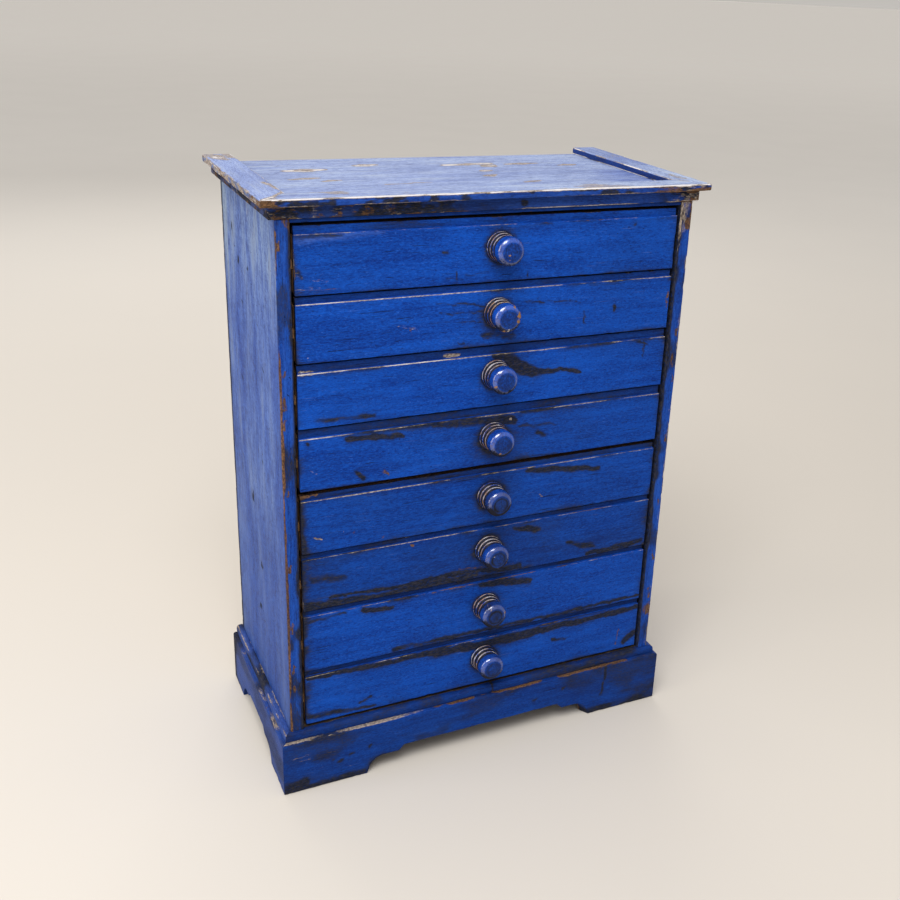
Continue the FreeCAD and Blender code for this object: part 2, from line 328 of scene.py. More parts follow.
def make_object(name, board, wear, material, body, replaced, grain_axis, sharp=35):
    """A mesh object with its masks and its grain coordinates."""
    mesh = bpy.data.meshes.new(name)
    mesh.from_pydata((board.points * MM).tolist(), [], board.faces)
    mesh.validate()
    mesh.update()
    order = [grain_axis] + [k for k in (0, 1, 2) if k != grain_axis]
    for key, kind, field, values in (
            ("wear", "FLOAT_COLOR", "color", wear.table()),
            ("grain", "FLOAT_VECTOR", "vector", board.points[:, order] * MM + wear.seed * 0.37),
            ("tone", "FLOAT", "value", np.clip(wear.tone, 0, 1))):
        attribute = mesh.attributes.new(key, kind, "POINT")
        attribute.data.foreach_set(field, values.astype(np.float32).ravel())
    mesh.polygons.foreach_set("use_smooth", [True] * len(mesh.polygons))
    mesh.set_sharp_from_angle(angle=math.radians(sharp))
    mesh.materials.append(material)
    piece = bpy.data.objects.new(name, mesh)
    bpy.context.scene.collection.objects.link(piece)
    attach(piece, body)
    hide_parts(replaced)


# Materials. Colours are linear red, green and blue.

DEEP_BLUE, FULL_BLUE, BRIGHT_BLUE = (0.0026, 0.024, 0.195), (0.0060, 0.084, 0.500), (0.010, 0.125, 0.60)
GRAIN_BLUE, GRIT_BLUE, NAVY = (0.0035, 0.011, 0.070), (0.045, 0.150, 0.600), (0.0045, 0.011, 0.046)
CHALK_HOLLOW, CHALK_STAIN, SCRATCH = (0.045, 0.060, 0.11), (0.24, 0.25, 0.235), (0.20, 0.28, 0.50)
CUT, PIT, DIRT_AND_SHADE_FILM = (0.004, 0.006, 0.016), (0.006, 0.007, 0.012), (0.010, 0.017, 0.046)
DIRT_AND_SHADE_DARK, DIRT_LIGHT, DIRT_BLUE = (0.008, 0.010, 0.016), (0.038, 0.034, 0.032), (0.007, 0.024, 0.110)
UNDERCOAT_DARK, UNDERCOAT, UNDERCOAT_PALE = (0.13, 0.100, 0.078), (0.40, 0.33, 0.26), (0.70, 0.67, 0.67)
WORN_WOOD = ((0.036, 0.019, 0.012), (0.20, 0.105, 0.050), (0.055, 0.042, 0.033))
WORN_WOOD_DARK = (0.026, 0.015, 0.010)
OLD_WOOD = ((0.12, 0.055, 0.024), (0.34, 0.19, 0.088), (0.16, 0.10, 0.062))
# near black wood for the bottom board: painted shade in the gap under the lowest drawer
SHADE_DARK_WOOD = ((0.020, 0.012, 0.008), (0.060, 0.038, 0.024), (0.020, 0.015, 0.012))
KNOB_DEEP, KNOB_FULL, KNOB_HANDLED = (0.0035, 0.026, 0.20), (0.006, 0.075, 0.46), (0.006, 0.016, 0.070)
KNOB_SCUFF, KNOB_SCRAPE, KNOB_FILM = (0.06, 0.10, 0.24), (0.004, 0.006, 0.014), (0.014, 0.020, 0.042)
KNOB_DIRT, KNOB_WOOD_DARK, KNOB_WOOD = (0.010, 0.009, 0.010), (0.10, 0.045, 0.02), (0.42, 0.23, 0.10)
KNOB_COAT_DARK, KNOB_COAT, KNOB_COAT_PALE = (0.26, 0.18, 0.12), (0.52, 0.48, 0.45), (0.60, 0.64, 0.72)
WOOD_KNOT, DUST = (0.05, 0.022, 0.010), (0.28, 0.24, 0.20)
IRON, RUST = (0.045, 0.038, 0.034), (0.16, 0.058, 0.022)
FLOOR_NEAR, FLOOR_FAR, FLOOR_SPECK = (0.62, 0.585, 0.54), (0.93, 0.91, 0.88), (0.5, 0.5, 0.5)
SKY_TINT = (1.0, 0.955, 0.90)


class Nodes:
    """Short hand for building a node tree."""

    def __init__(self, name):
        self.material = bpy.data.materials.new(name)
        self.material.use_nodes = True
        self.tree = self.material.node_tree
        self.shader = self.tree.nodes["Principled BSDF"]

    def put(self, socket, value):
        if isinstance(value, bpy.types.NodeSocket):
            self.tree.links.new(value, socket)
        elif isinstance(value, (tuple, list)) and len(value) == 3 and socket.type == "RGBA":
            socket.default_value = (*value, 1.0)
        else:
            socket.default_value = value

    def surface(self, **inputs):
        """Sets the shader's own inputs; underscores stand for spaces."""
        for key, value in inputs.items():
            self.put(self.shader.inputs[key.replace("_", " ")], value)
        return self.material

    def add(self, kind, settings=None, **inputs):
        node = self.tree.nodes.new("ShaderNode" + kind)
        for key, value in (settings or {}).items():
            setattr(node, key, value)
        for key, value in inputs.items():
            self.put(node.inputs[key.replace("_", " ")], value)
        return node

    def math(self, operation, *values, clamp=False):
        node = self.add("Math", {"operation": operation, "use_clamp": clamp})
        for socket, value in zip(node.inputs, values):
            self.put(socket, value)
        return node.outputs[0]

    def times(self, a, b, clamp=False):
        return self.math("MULTIPLY", a, b, clamp=clamp)

    def plus(self, a, b):
        return self.math("ADD", a, b)

    def minus(self, a, b):
        return self.math("SUBTRACT", a, b)

    def scaled(self, value, factor, offset, clamp=False):
        """value * factor + offset"""
        return self.math("MULTIPLY_ADD", value, factor, offset, clamp=clamp)

    def weigh(self, first, *others):
        """Sum of (value, weight) pairs."""
        total = self.times(*first)
        for value, weight in others:
            total = self.scaled(value, weight, total)
        return total

    def mix(self, share, a, b):
        node = self.add("Mix", {"data_type": "RGBA", "blend_type": "MIX"})
        for place, value in ((0, share), (6, a), (7, b)):
            self.put(node.inputs[place], value)
        return node.outputs[2]

    def ramp(self, value, low, high, out_low=0.0, out_high=1.0):
        node = self.add("MapRange", {"interpolation_type": "SMOOTHSTEP"}, Value=value,
                        From_Min=low, From_Max=high, To_Min=out_low, To_Max=out_high)
        return node.outputs[0]

    def over(self, colour, value, low, high, strength, tint):
        """Lays a tint over a colour where value passes from low to high."""
        return self.mix(self.ramp(value, low, high, 0.0, strength), colour, tint)

    def stretched(self, vector, scale):
        return self.add("Mapping", {"vector_type": "POINT"}, Vector=vector, Scale=scale).outputs[0]

    def noise(self, vector, scale, detail=3.0, rough=0.55, distortion=0.0):
        scale = scale if isinstance(scale, tuple) else (scale,) * 3
        moved = self.stretched(vector, scale)
        node = self.add("TexNoise", {"noise_dimensions": "3D"}, Vector=moved, Scale=1.0, Detail=detail,
                        Roughness=rough, Distortion=distortion)
        return node.outputs["Fac"]

    def bump(self, height, distance, strength):
        return self.add("Bump", Height=height, Distance=distance, Strength=strength).outputs[0]

    def attributes(self):
        """The grain coordinates and the four masks that make_object wrote."""
        grain = self.add("Attribute", {"attribute_name": "grain"}).outputs["Vector"]
        wear = self.add("Attribute", {"attribute_name": "wear"})
        rub, bare, grime_and_shade = self.add("SeparateColor", Color=wear.outputs["Color"]).outputs
        return grain, rub, bare, grime_and_shade, wear.outputs["Alpha"]


def wood_layer(t, grain, dark, light, tint):
    """Colour and height of bare softwood with its grain along the first coordinate."""
    bend = t.noise(grain, (2.2, 16.0, 16.0))
    across = t.add("SeparateXYZ", Vector=grain)
    rings = t.scaled(across.outputs[2], 520.0, t.times(bend, 26.0))
    rings = t.plus(rings, t.times(across.outputs[1], 430.0))
    wave = t.scaled(t.math("SINE", rings), 0.5, 0.5)
    fibre = t.noise(grain, (70.0, 1400.0, 1400.0), 3.0, 0.65)
    blotch = t.noise(grain, (9.0, 30.0, 30.0), 4.0, 0.6)
    colour = t.over(light, wave, 0.30, 1.0, 0.36, dark)
    colour = t.over(colour, fibre, 0.42, 0.7, 0.6, dark)
    colour = t.over(colour, blotch, 0.42, 0.75, 0.55, tint)
    return colour, t.plus(t.times(wave, 0.35), t.times(fibre, 0.65))


def paint_material(name, fade_and_sheen_colour, gloss, streaky=0.0, wide=1.0):
    """Aged ultramarine paint on wood: streaks, washed-out pale places that are also painted sheen, scratches,
    dirt that is also painted shade, rubbed arrises and bare places.
    streaky: 0 for short fine grain, 1 for long brush streaks; wide stretches the pattern along the third
    coordinate."""
    t = Nodes(name)
    grain, rub, bare, grime_and_shade, chalk_and_sheen = t.attributes()
    tone = t.add("Attribute", {"attribute_name": "tone"}).outputs["Fac"]

    def along_grain(length, across, *settings):
        return t.noise(grain, (length, across, across / wide), *settings)
    cloud = along_grain(11.0, 30.0, 4.0, 0.6, 0.4)
    broad = along_grain(14.0 - 5.0 * streaky, 190.0, 4.0, 0.6)
    streak = along_grain(140.0 - 80.0 * streaky, 1200.0, 4.0, 0.66)
    mottle = along_grain(340.0, 880.0 - 140.0 * streaky, 4.0, 0.70, 0.3)
    fibre = along_grain(190.0, 2600.0, 2.0, 0.6)
    broken = along_grain(190.0, 640.0, 5.0, 0.72)
    speck = along_grain(380.0, 560.0, 2.0, 0.5)
    grit = along_grain(420.0, 1000.0, 2.0, 0.5)

    # paint film: dark where it is thin or dirty in the grain, bright on the fibres
    film = t.weigh((mottle, 0.46 - 0.06 * streaky), (streak, 0.34 + 0.12 * streaky),
                   (broad, 0.26 - 0.02 * streaky), (cloud, 0.24 - 0.04 * streaky))
    colour = t.mix(t.ramp(film, 0.50, 0.80), DEEP_BLUE, FULL_BLUE)
    colour = t.over(colour, fibre, 0.56, 0.76, 0.32, BRIGHT_BLUE)
    colour = t.over(colour, t.weigh((mottle, 0.7), (streak, 0.3)), 0.41, 0.31, 0.40, GRAIN_BLUE)
    colour = t.over(colour, grit, 0.62, 0.74, 0.42, GRIT_BLUE)
    colour = t.mix(tone, NAVY, colour)

    # faded, chalky paint in streaks; on the top and the sides this pale also stands in for painted sheen
    wash = t.weigh((broad, 0.30 + 0.14 * streaky), (streak, 0.45 - 0.08 * streaky),
                   (mottle, 0.25 - 0.06 * streaky))
    washed = t.ramp(wash, 0.38 + 0.02 * streaky, 0.62 - 0.02 * streaky, 0.45 - 0.15 * streaky, 1.48)
    fade_and_sheen = t.times(t.times(chalk_and_sheen, washed), t.ramp(cloud, 0.25, 0.7, 0.80, 1.18), clamp=True)
    colour = t.mix(fade_and_sheen, colour, fade_and_sheen_colour)
    chalked = t.math("MINIMUM", t.times(chalk_and_sheen, 2.5), 1.0)
    hollow = t.times(chalked, t.ramp(streak, 0.46, 0.33, 0.0, 0.40 + 0.10 * streaky))
    colour = t.mix(hollow, colour, CHALK_HOLLOW)
    chalked = t.math("MINIMUM", t.times(chalk_and_sheen, 2.0), 0.6)
    stained = t.times(chalked, t.ramp(broad, 0.52, 0.70, 0.0, 0.45))
    colour = t.mix(stained, colour, CHALK_STAIN)

    # hairline scratches and cuts along the grain
    scratch = t.noise(grain, (38.0, 1500.0, 1500.0), 1.0, 0.4)
    scratches = t.times(t.ramp(scratch, 0.72, 0.80), t.ramp(cloud, 0.45, 0.65))
    colour = t.mix(t.times(scratches, 0.35), colour, SCRATCH)
    cut = t.noise(grain, (34.0, 1050.0, 1050.0), 1.5, 0.45, 0.3)
    cuts = t.times(t.ramp(cut, 0.67, 0.75), t.ramp(cloud, 0.62, 0.44))
    colour = t.mix(t.times(cuts, 0.8), colour, CUT)

    # dirt: soft film and ragged patches; the same colours are the painted shade where that mask holds shade
    ragged = t.plus(t.scaled(broken, 0.75, -0.375), t.scaled(streak, 0.55, -0.275))
    dull = t.times(t.ramp(grime_and_shade, 0.02, 0.9), t.ramp(streak, 0.3, 0.7, 0.80, 0.35))
    colour = t.mix(dull, colour, DIRT_AND_SHADE_FILM)
    patch = t.ramp(t.plus(grime_and_shade, ragged), 0.36, 0.86)
    dirt_and_shade_colour = t.mix(t.ramp(broken, 0.40, 0.68), DIRT_AND_SHADE_DARK, DIRT_LIGHT)
    dirt_and_shade_colour = t.over(dirt_and_shade_colour, mottle, 0.50, 0.66, 0.60, DIRT_BLUE)
    colour = t.mix(t.times(patch, 0.92), colour, dirt_and_shade_colour)
    pit_low = 0.69 - 0.03 * streaky
    pit = t.times(t.ramp(speck, pit_low, pit_low + 0.07), t.ramp(cloud, 0.36, 0.58, 0.25, 1.0))
    colour = t.mix(t.times(pit, 0.75), colour, PIT)

    # pale undercoat where the paint is rubbed through, and bare wood
    rubbed = t.ramp(t.plus(rub, t.times(ragged, 1.15)), 0.44, 0.72)
    beige = t.mix(t.ramp(mottle, 0.38, 0.62), UNDERCOAT_DARK, UNDERCOAT)
    pale = t.mix(t.ramp(t.scaled(mottle, 0.3, rub), 1.12, 1.42), beige, UNDERCOAT_PALE)
    colour = t.mix(t.times(rubbed, 0.86), colour, pale)
    wood, wood_height = wood_layer(t, grain, *WORN_WOOD)
    wood = t.over(wood, mottle, 0.42, 0.60, 0.75, WORN_WOOD_DARK)
    opened = t.ramp(t.plus(bare, ragged), 0.44, 0.66)
    colour = t.mix(t.times(opened, 0.95), colour, wood)

    rough = t.scaled(streak, 0.25, 0.36)
    rough = t.scaled(t.math("MAXIMUM", opened, patch), 0.25, rough)
    rough = t.scaled(fade_and_sheen, 0.15, rough, clamp=True)
    level = t.weigh((fibre, 0.3), (streak, 0.5), (mottle, 0.35), (cloud, 0.3))
    level = t.minus(level, t.times(rubbed, 0.45))
    level = t.minus(level, t.times(opened, 0.9))
    level = t.scaled(t.times(opened, wood_height), 0.7, level)
    level = t.minus(level, t.times(t.plus(cuts, pit), 0.7))
    return t.surface(Base_Color=colour, Roughness=rough, Specular_IOR_Level=gloss,
                     Normal=t.bump(level, 0.0005, 0.8))


def knob_material(name):
    """Handled, polished paint: darker film, scratches in all directions, pale rubbed crests."""
    t = Nodes(name)
    grain, rub, bare, grime_and_shade, handled = t.attributes()
    cloud = t.noise(grain, 90.0, 4.0, 0.6, 0.5)
    broken = t.noise(grain, 520.0, 4.0, 0.68)
    fine = t.noise(grain, 1100.0, 3.0, 0.6)
    scuff = t.noise(grain, (250.0, 1700.0, 500.0), 1.5, 0.5, 1.2)
    scrape = t.noise(grain, (900.0, 1500.0, 260.0), 1.5, 0.5, 1.0)
    film = t.weigh((cloud, 0.5), (broken, 0.5))
    colour = t.mix(t.ramp(film, 0.40, 0.60), KNOB_DEEP, KNOB_FULL)
    worn_film = t.times(handled, t.ramp(broken, 0.35, 0.65, 1.0, 0.55), clamp=True)
    colour = t.mix(worn_film, colour, KNOB_HANDLED)
    scuffed = t.times(t.ramp(scuff, 0.60, 0.70), t.scaled(handled, 0.22, 0.06))
    colour = t.mix(scuffed, colour, KNOB_SCUFF)
    scraped = t.times(t.ramp(scrape, 0.60, 0.68), t.scaled(handled, 0.60, 0.20), clamp=True)
    colour = t.mix(scraped, colour, KNOB_SCRAPE)
    soiled = t.times(t.ramp(grime_and_shade, 0.0, 0.9), t.ramp(cloud, 0.3, 0.7, 0.5, 0.9))
    colour = t.mix(soiled, colour, KNOB_FILM)
    dirt = t.ramp(t.plus(grime_and_shade, t.scaled(broken, 1.0, -0.5)), 0.48, 0.70)
    colour = t.mix(t.times(dirt, 0.9), colour, KNOB_DIRT)
    rubbed = t.ramp(t.plus(rub, t.scaled(broken, 1.1, -0.55)), 0.45, 0.66)
    pale = t.mix(t.ramp(cloud, 0.4, 0.6), KNOB_COAT_DARK, KNOB_COAT)
    pale = t.mix(t.ramp(rub, 1.0, 1.3), pale, KNOB_COAT_PALE)
    colour = t.mix(t.times(rubbed, 0.85), colour, pale)
    opened = t.ramp(t.plus(bare, t.scaled(broken, 1.0, -0.5)), 0.46, 0.60)
    colour = t.mix(opened, colour, t.mix(broken, KNOB_WOOD_DARK, KNOB_WOOD))
    dull = t.math("MAXIMUM", t.math("MAXIMUM", opened, dirt), t.ramp(handled, 0.0, 0.45))
    rough = t.scaled(dull, 0.24, t.scaled(cloud, 0.14, 0.10))
    level = t.scaled(broken, 0.3, t.plus(t.times(cloud, 0.4), t.times(fine, 0.2)))
    level = t.minus(level, t.times(t.plus(opened, rubbed), 0.6))
    gloss = t.ramp(dull, 0.0, 0.9, 1.0, 0.06)
    return t.surface(Base_Color=colour, Roughness=rough, Specular_IOR_Level=gloss, IOR=1.6,
                     Normal=t.bump(level, 0.0002, 0.6))


def wood_material(name, order, tints):
    """Unpainted old softwood; order says which object axis the grain follows."""
    t = Nodes(name)
    split = t.add("SeparateXYZ", Vector=t.add("TexCoord").outputs["Object"])
    x, y, z = (split.outputs[axis] for axis in order)
    grain = t.add("CombineXYZ", X=x, Y=y, Z=z).outputs[0]
    colour, height = wood_layer(t, grain, *tints)
    stretched = t.stretched(grain, (5.0, 11.0, 11.0))
    knots = t.add("TexVoronoi", {"feature": "F1"}, Vector=stretched, Scale=1.0, Randomness=1.0)
    knot = t.ramp(knots.outputs["Distance"], 0.16, 0.03)
    colour = t.mix(t.times(knot, 0.85), colour, WOOD_KNOT)
    dust = t.noise(grain, 60.0, 4.0, 0.65)
    colour = t.over(colour, dust, 0.52, 0.78, 0.35, DUST)
    return t.surface(Base_Color=colour, Roughness=t.ramp(dust, 0.3, 0.7, 0.62, 0.82), Specular_IOR_Level=0.25,
                     Normal=t.bump(height, 0.0003, 0.7))


def iron_material(name):
    t = Nodes(name)
    rust = t.noise(t.add("TexCoord").outputs["Object"], 600.0, 4.0, 0.65)
    colour = t.mix(t.ramp(rust, 0.38, 0.64), IRON, RUST)
    return t.surface(Base_Color=colour, Roughness=t.ramp(rust, 0.3, 0.7, 0.45, 0.85), Metallic=0.6,
                     Normal=t.bump(rust, 0.0002, 0.8))


def floor_material(name):
    """Pale matt floor, a little lighter far away where less light falls on it."""
    t = Nodes(name)
    place = t.add("TexCoord").outputs["Object"]
    far = t.add("VectorMath", {"operation": "LENGTH"}, Vector=place).outputs["Value"]
    soft = t.noise(place, 3.0)
    colour = t.mix(t.ramp(far, 0.5, 4.5), FLOOR_NEAR, FLOOR_FAR)
    colour = t.over(colour, soft, 0.3, 0.7, 0.03, FLOOR_SPECK)
    return t.surface(Base_Color=colour, Roughness=0.8, Specular_IOR_Level=0.1, Emission_Color=SKY_TINT,
                     Emission_Strength=t.ramp(far, 1.5, 12.0, 0.0, 0.09))


# the pale that the fourth mask mixes in is faded paint and, on the top and the sides, painted sheen
paint = paint_material("worn_blue_paint", (0.372, 0.448, 0.622), 0.06)
grey_paint = paint_material("faded_blue_paint_and_sheen", (0.295, 0.375, 0.425), 0.06, streaky=1.0, wide=3.6)
knob_paint = knob_material("handled_blue_paint")
wood_x = wood_material("old_wood_across", (0, 1, 2), OLD_WOOD)
wood_y = wood_material("old_wood_deep", (1, 0, 2), OLD_WOOD)
wood_z = wood_material("old_wood_upright", (2, 0, 1), OLD_WOOD)
shade_dark_wood = wood_material("old_wood_painted_shade", (0, 1, 2), SHADE_DARK_WOOD)
iron = iron_material("rusted_iron")


# Case

side_lo, side_hi = box_mm("side_left")
top_lo, top_hi = box_mm("top_board")
moulding_lo, moulding_hi = box_mm("base_moulding_front")
plinth_lo, plinth_hi = box_mm("plinth_front")
panel_lo, panel_hi = box_mm("back_panel")
case_half, inner_half = abs(side_lo[0]), abs(side_hi[0])
case_front, case_back = side_lo[1], side_hi[1]
board_front = moulding_hi[1]
floor_z = moulding_hi[2]
PLACES = {0: "front", -1: "left", 1: "right"}

# Marks on the left side: stains as (y, height, radius, strength), scratches as (y, height, length)
SIDE_STAINS = ((46, 512, 3.0, 0.75), (6, 516, 2.2, 0.6), (36, 474, 2.2, 0.7), (26, 272, 4.5, 0.7),
               (-1.6, 205, 3.5, 0.6), (-20, 330, 2.2, 0.6), (52, 392, 2.2, 0.6), (70, 540, 4.0, 0.6),
               (14, 150, 3.0, 0.55), (-40, 430, 2.0, 0.6))
SIDE_SCRATCHES = ((-60, 545, 16), (-20, 556, 10), (60, 520, 10), (-80, 500, 8))
# Bare spots on the stiles: (height, half length)
STILE_SPOTS = ((418, 7), (446, 4), (398, 5), (330, 4), (252, 4), (188, 6), (140, 5), (118, 4), (560, 5))
# Rubbed places on the top: (x, y, half width, half length, strength)
TOP_RUBS = ((-136, 63, 6, 18, 0.72), (-69, 83, 5, 10, 0.62), (40, 74, 5, 26, 0.6), (59, 62, 6, 6, 0.62),
            (44, 34, 4, 5, 0.6), (36, 8, 4, 7, 0.55), (65, -30, 3, 9, 0.55), (150, 56, 4, 10, 0.55),
            (-150, 18, 3, 14, 0.5), (-128, 4, 3, 10, 0.5), (-60, -20, 2, 24, 0.45), (100, 70, 4, 18, 0.5))
STAIN_LENGTHEN = 2.6
STILE_SKIN = 1.75


def side_board(sign):
    """Side board (sign -1 left, 1 right); its front edge is the stile beside the drawers."""
    x_out, x_in, x_lap = sign * case_half, sign * inner_half, sign * panel_hi[0]
    outline = profile([
        (x_out, case_front, 1.0, 2.4), (x_out, case_back, 0.8, 4.0), (x_lap, case_back, 0.3, 4.0),
        (x_lap, panel_lo[1], 0, 4.0), (x_in, panel_lo[1], 0.3, 12.0), (x_in, case_front, 0.8, 1.6),
    ])
    heights = [side_lo[2]] + spread(side_lo[2], floor_z, 8.0, True, False) + [floor_z - 0.01, floor_z]
    heights += spread(floor_z, side_hi[2], 2.4, False, True) + [side_hi[2]]

    def notch(z, pts):
        moved = pts.copy()
        if z < floor_z:
            moved[:, 1] = np.maximum(moved[:, 1], board_front)
        return moved
    board = loft(outline, heights, (2, 0, 1), shift=notch)
    stile = board.points[:, 1] < case_front + STILE_SKIN
    seed = 11 if sign < 0 else 12
    erode(board, seed, 0.5, 0.9)
    x, y, z = board.points.T
    wear = Wear(board, seed, rub=0.25, bare=0.75, grime_and_shade=0.25, line=1.0)
    outside = (np.abs(x) > case_half - 2.5) & (y > case_front + 0.9) & (y < case_back - 1.0)
    inside = (np.abs(x) < case_half - 1.5) & (y > case_front + 2.0)
    back = y > case_back - 0.6

    # paint on the outside, bare wood within; the pale on the outside, growing towards the top, is faded paint
    # and painted sheen
    fade_and_sheen = 0.16 + 0.22 * smooth(z, 430, 575) - 0.09 * smooth(z, 330, 140)
    fade_and_sheen = fade_and_sheen + 0.20 * (wear.noise((40, 34, 320), seed + 3) - 0.5)
    fade_and_sheen = fade_and_sheen + 0.08 * smooth(y, case_back - 60, case_back)
    wear.chalk_and_sheen = np.where(outside, fade_and_sheen, 0.02)
    wear.tone = np.where(outside, 0.92 - 0.20 * smooth(z, 420, 90), 0.85)
    wear.put("bare", inside, 1.2 * smooth(y, case_front + 14, case_front + 30))
    # dark inner faces near the front: painted shade in the gaps beside the drawers
    wear.put("grime_and_shade", inside, 1.4 * smooth(y, case_front + 40, case_front + 20))
    wear.put("bare", back, 0.9)
    wear.put("rub", inside | back, 0)
    near_front = smooth(y, case_front + 16, case_front + 2)
    near_edge = np.maximum(near_front, smooth(y, case_back - 34, case_back - 14))
    wear.add("grime_and_shade", 0.75 * outside * fall(case_back - y, 9.0, 1.5))
    wear.add_patches("rub", 0.50 * outside * smooth(z, 510, 581), (22, 40, 44), seed + 4, 0.40, 0.66, 4)
    wear.add_patches("rub", 0.34 * outside * near_edge, (20, 24, 40), seed + 14, 0.34, 0.60, 4)
    wear.add("grime_and_shade", 0.42 * outside * smooth(z, 130, 70) * wear.noise((25, 25, 30), seed + 5))
    soil = smooth(y, case_back - 12, case_back) * wear.patches(30, seed + 6, 0.3, 0.6)
    wear.add("grime_and_shade", 0.40 * outside * soil)
    soil = smooth(y, case_front + 22, case_front) * wear.patches((20, 20, 60), seed + 16, 0.4, 0.65)
    wear.add("grime_and_shade", 0.26 * outside * soil)
    if sign < 0:
        for y0, z0, r, strength in SIDE_STAINS:
            u0 = y0 / STAIN_LENGTHEN
            rows = [(u0, z0 - r * 0.6, r * 0.6), (u0 + 0.4, z0 + r, r * 0.3)]
            wear.mark("grime_and_shade", y / STAIN_LENGTHEN, z, rows, strength * 1.3, outside)
        for y0, z0, length in SIDE_SCRATCHES:
            wear.mark("rub", y, z, [(y0, z0, 1.2), (y0 + 0.5, z0 - length, 0.6)], 0.55, outside)
        # reddish worn strip along the stile's outer arris and its patches
        arris = band(np.hypot(x + case_half, y - case_front), 2.2, 1)
        wear.add_patches("bare", 0.65 * arris * smooth(z, 480, 380), (20, 20, 34), 71, 0.40, 0.62)
        red_line = band(x + case_half - 0.8, 1.5) * (y < case_front + 2.0)
        red_patches = 0.45 + 0.75 * wear.patches((20, 20, 46), 72, 0.34, 0.5)
        wear.add("bare", 0.80 * red_line * smooth(z, 500, 440) * red_patches)

    # the stile
    for z0, r in STILE_SPOTS:
        rows = [(sign * (case_half - 4), z0 - r, 2.0), (sign * (case_half - 5), z0 + r, 1.4)]
        wear.mark("bare", x, z, rows, 0.72, stile)
    wear.put("tone", stile, 0.86)
    wear.add_patches("grime_and_shade", 0.55 * stile, (12, 12, 30), seed + 8, 0.42, 0.66, 4)
    wear.add_patches("bare", 0.60 * stile * smooth(z, 535, 575), (9, 9, 16), seed + 18, 0.36, 0.60)
    if sign > 0:
        outer_part = smooth(x, inner_half + 3, case_half - 1)
        wear.add_patches("rub", 0.58 * stile * smooth(z, 520, 555), (10, 10, 34), 77, 0.30, 0.55)
        wear.add("bare", 0.60 * stile * band(z - 118, 16))
        wear.add_patches("rub", 0.50 * stile * outer_part, (8, 8, 40), 78, 0.42, 0.62)
    # near black inner rim of the stile: painted shade in the gap beside the drawers
    inner_rim = (y < case_front + 16) * band(np.abs(x) - inner_half, 1.6, 1)
    wear.add("grime_and_shade", 1.4 * inner_rim)
    wear.bare = wear.bare * (1 - 0.9 * np.clip(inner_rim * 1.4, 0, 1))
    rim_patches = wear.patches((8, 8, 50), seed + 19, 0.44, 0.60)
    wear.add("bare", 0.62 * inner_rim * stile * smooth(z, 380, 470) * rim_patches)
    make_object("stile_and_side_" + PLACES[sign], board, wear, grey_paint, "case", "side_" + PLACES[sign], 2)


def top_panel():
    seed = 21
    board = rounded_box(top_lo, top_hi, 1.6, (2.4, 2.4, 1.6))
    erode(board, seed, 0.4, 0.8)
    x, y, z = board.points.T
    wear = Wear(board, seed, rub=0.5, bare=0.5, grime_and_shade=0.25, line=1.1)
    upper = z > top_hi[2] - 1.2
    streaks = wear.noise((220, 16, 40), 23, 4)
    # the pale streaks of the top are faded paint and painted sheen
    wear.chalk_and_sheen = np.where(upper, 0.60 + 0.40 * (streaks - 0.5), 0.02)
    # less pale beside the right strip: painted shadow of the strip
    wear.chalk_and_sheen = wear.chalk_and_sheen - upper * 0.30 * smooth(x, 120, 185) * wear.patches((60, 30, 40), 20, 0.3, 0.6)
    wear.put("rub", upper, 0.30 * smooth(streaks, 0.5, 0.8))
    wear.put("bare", upper, 0.16 * wear.patches((90, 30, 40), 24, 0.5, 0.8, 4))
    wear.put("grime_and_shade", upper, 0.10 * wear.patches((60, 30, 40), 25, 0.5, 0.8, 4))
    for u, v, w, length, strength in TOP_RUBS:
        rows = [(u - length, v - 2, w), (u, v, w * 1.7), (u + length, v + 2, w * 0.9)]
        wear.mark("rub", x, y, rows, strength + 0.45, upper)
        rows = [(u - length * 0.5, v, w * 0.9), (u + length * 0.4, v, w * 0.8)]
        wear.mark("bare", x, y, rows, strength * 0.80, upper)
    wear.mark("bare", x, y, [(-207, 106, 6), (-150, 110, 3)], 0.5, upper)

    # the edges: a dark band under the nose, more worn at its ends; its darker tone and dirt are partly
    # painted shade under the nose
    edges = ~upper
    left_end, right_end = smooth(x, 60, -150), smooth(x, 150, 200)
    wear.tone = np.where(edges, 0.55 - 0.25 * left_end, 1.0)
    dusk = np.maximum(left_end, right_end) * wear.patches((14, 12, 8), 26, 0.30, 0.60, 4)
    wear.add("grime_and_shade", edges * (0.15 + 0.90 * dusk))
    ends = np.maximum(0.60 * left_end, 0.75 * right_end)
    wear.add_patches("bare", edges * ends, (8, 8, 4), 27, 0.46, 0.60, 4)
    ends = np.maximum(0.50 * left_end, 0.60 * right_end)
    wear.add_patches("rub", edges * ends, (6, 6, 4), 29, 0.46, 0.62)
    arris = band(np.hypot(y - top_lo[1] - 0.6, z - top_lo[2] - 0.6), 1.0)
    wear.add_patches("rub", 0.95 * arris * smooth(x, -40, 60), (40, 20, 20), 28, 0.30, 0.55)
    wear.mark("grime_and_shade", x, z, [(20, 587, 4.0), (22, 587, 4.0)], 0.95, edges & (y < 0))
    make_object("top_boards", board, wear, paint, "case", "top_board", 0)


def top_rail():
    seed = 31
    board = rounded_box(*box_mm("top_rail"), 0.5, (4.0, 4.0, 1.6))
    erode(board, seed, 0.3, 0.4)
    wear = Wear(board, seed, rub=0.2, bare=0.2, grime_and_shade=0.3)
    wear.tone[:] = 0.5
    make_object("rail_over_drawers", board, wear, paint, "case", "top_rail", 0)


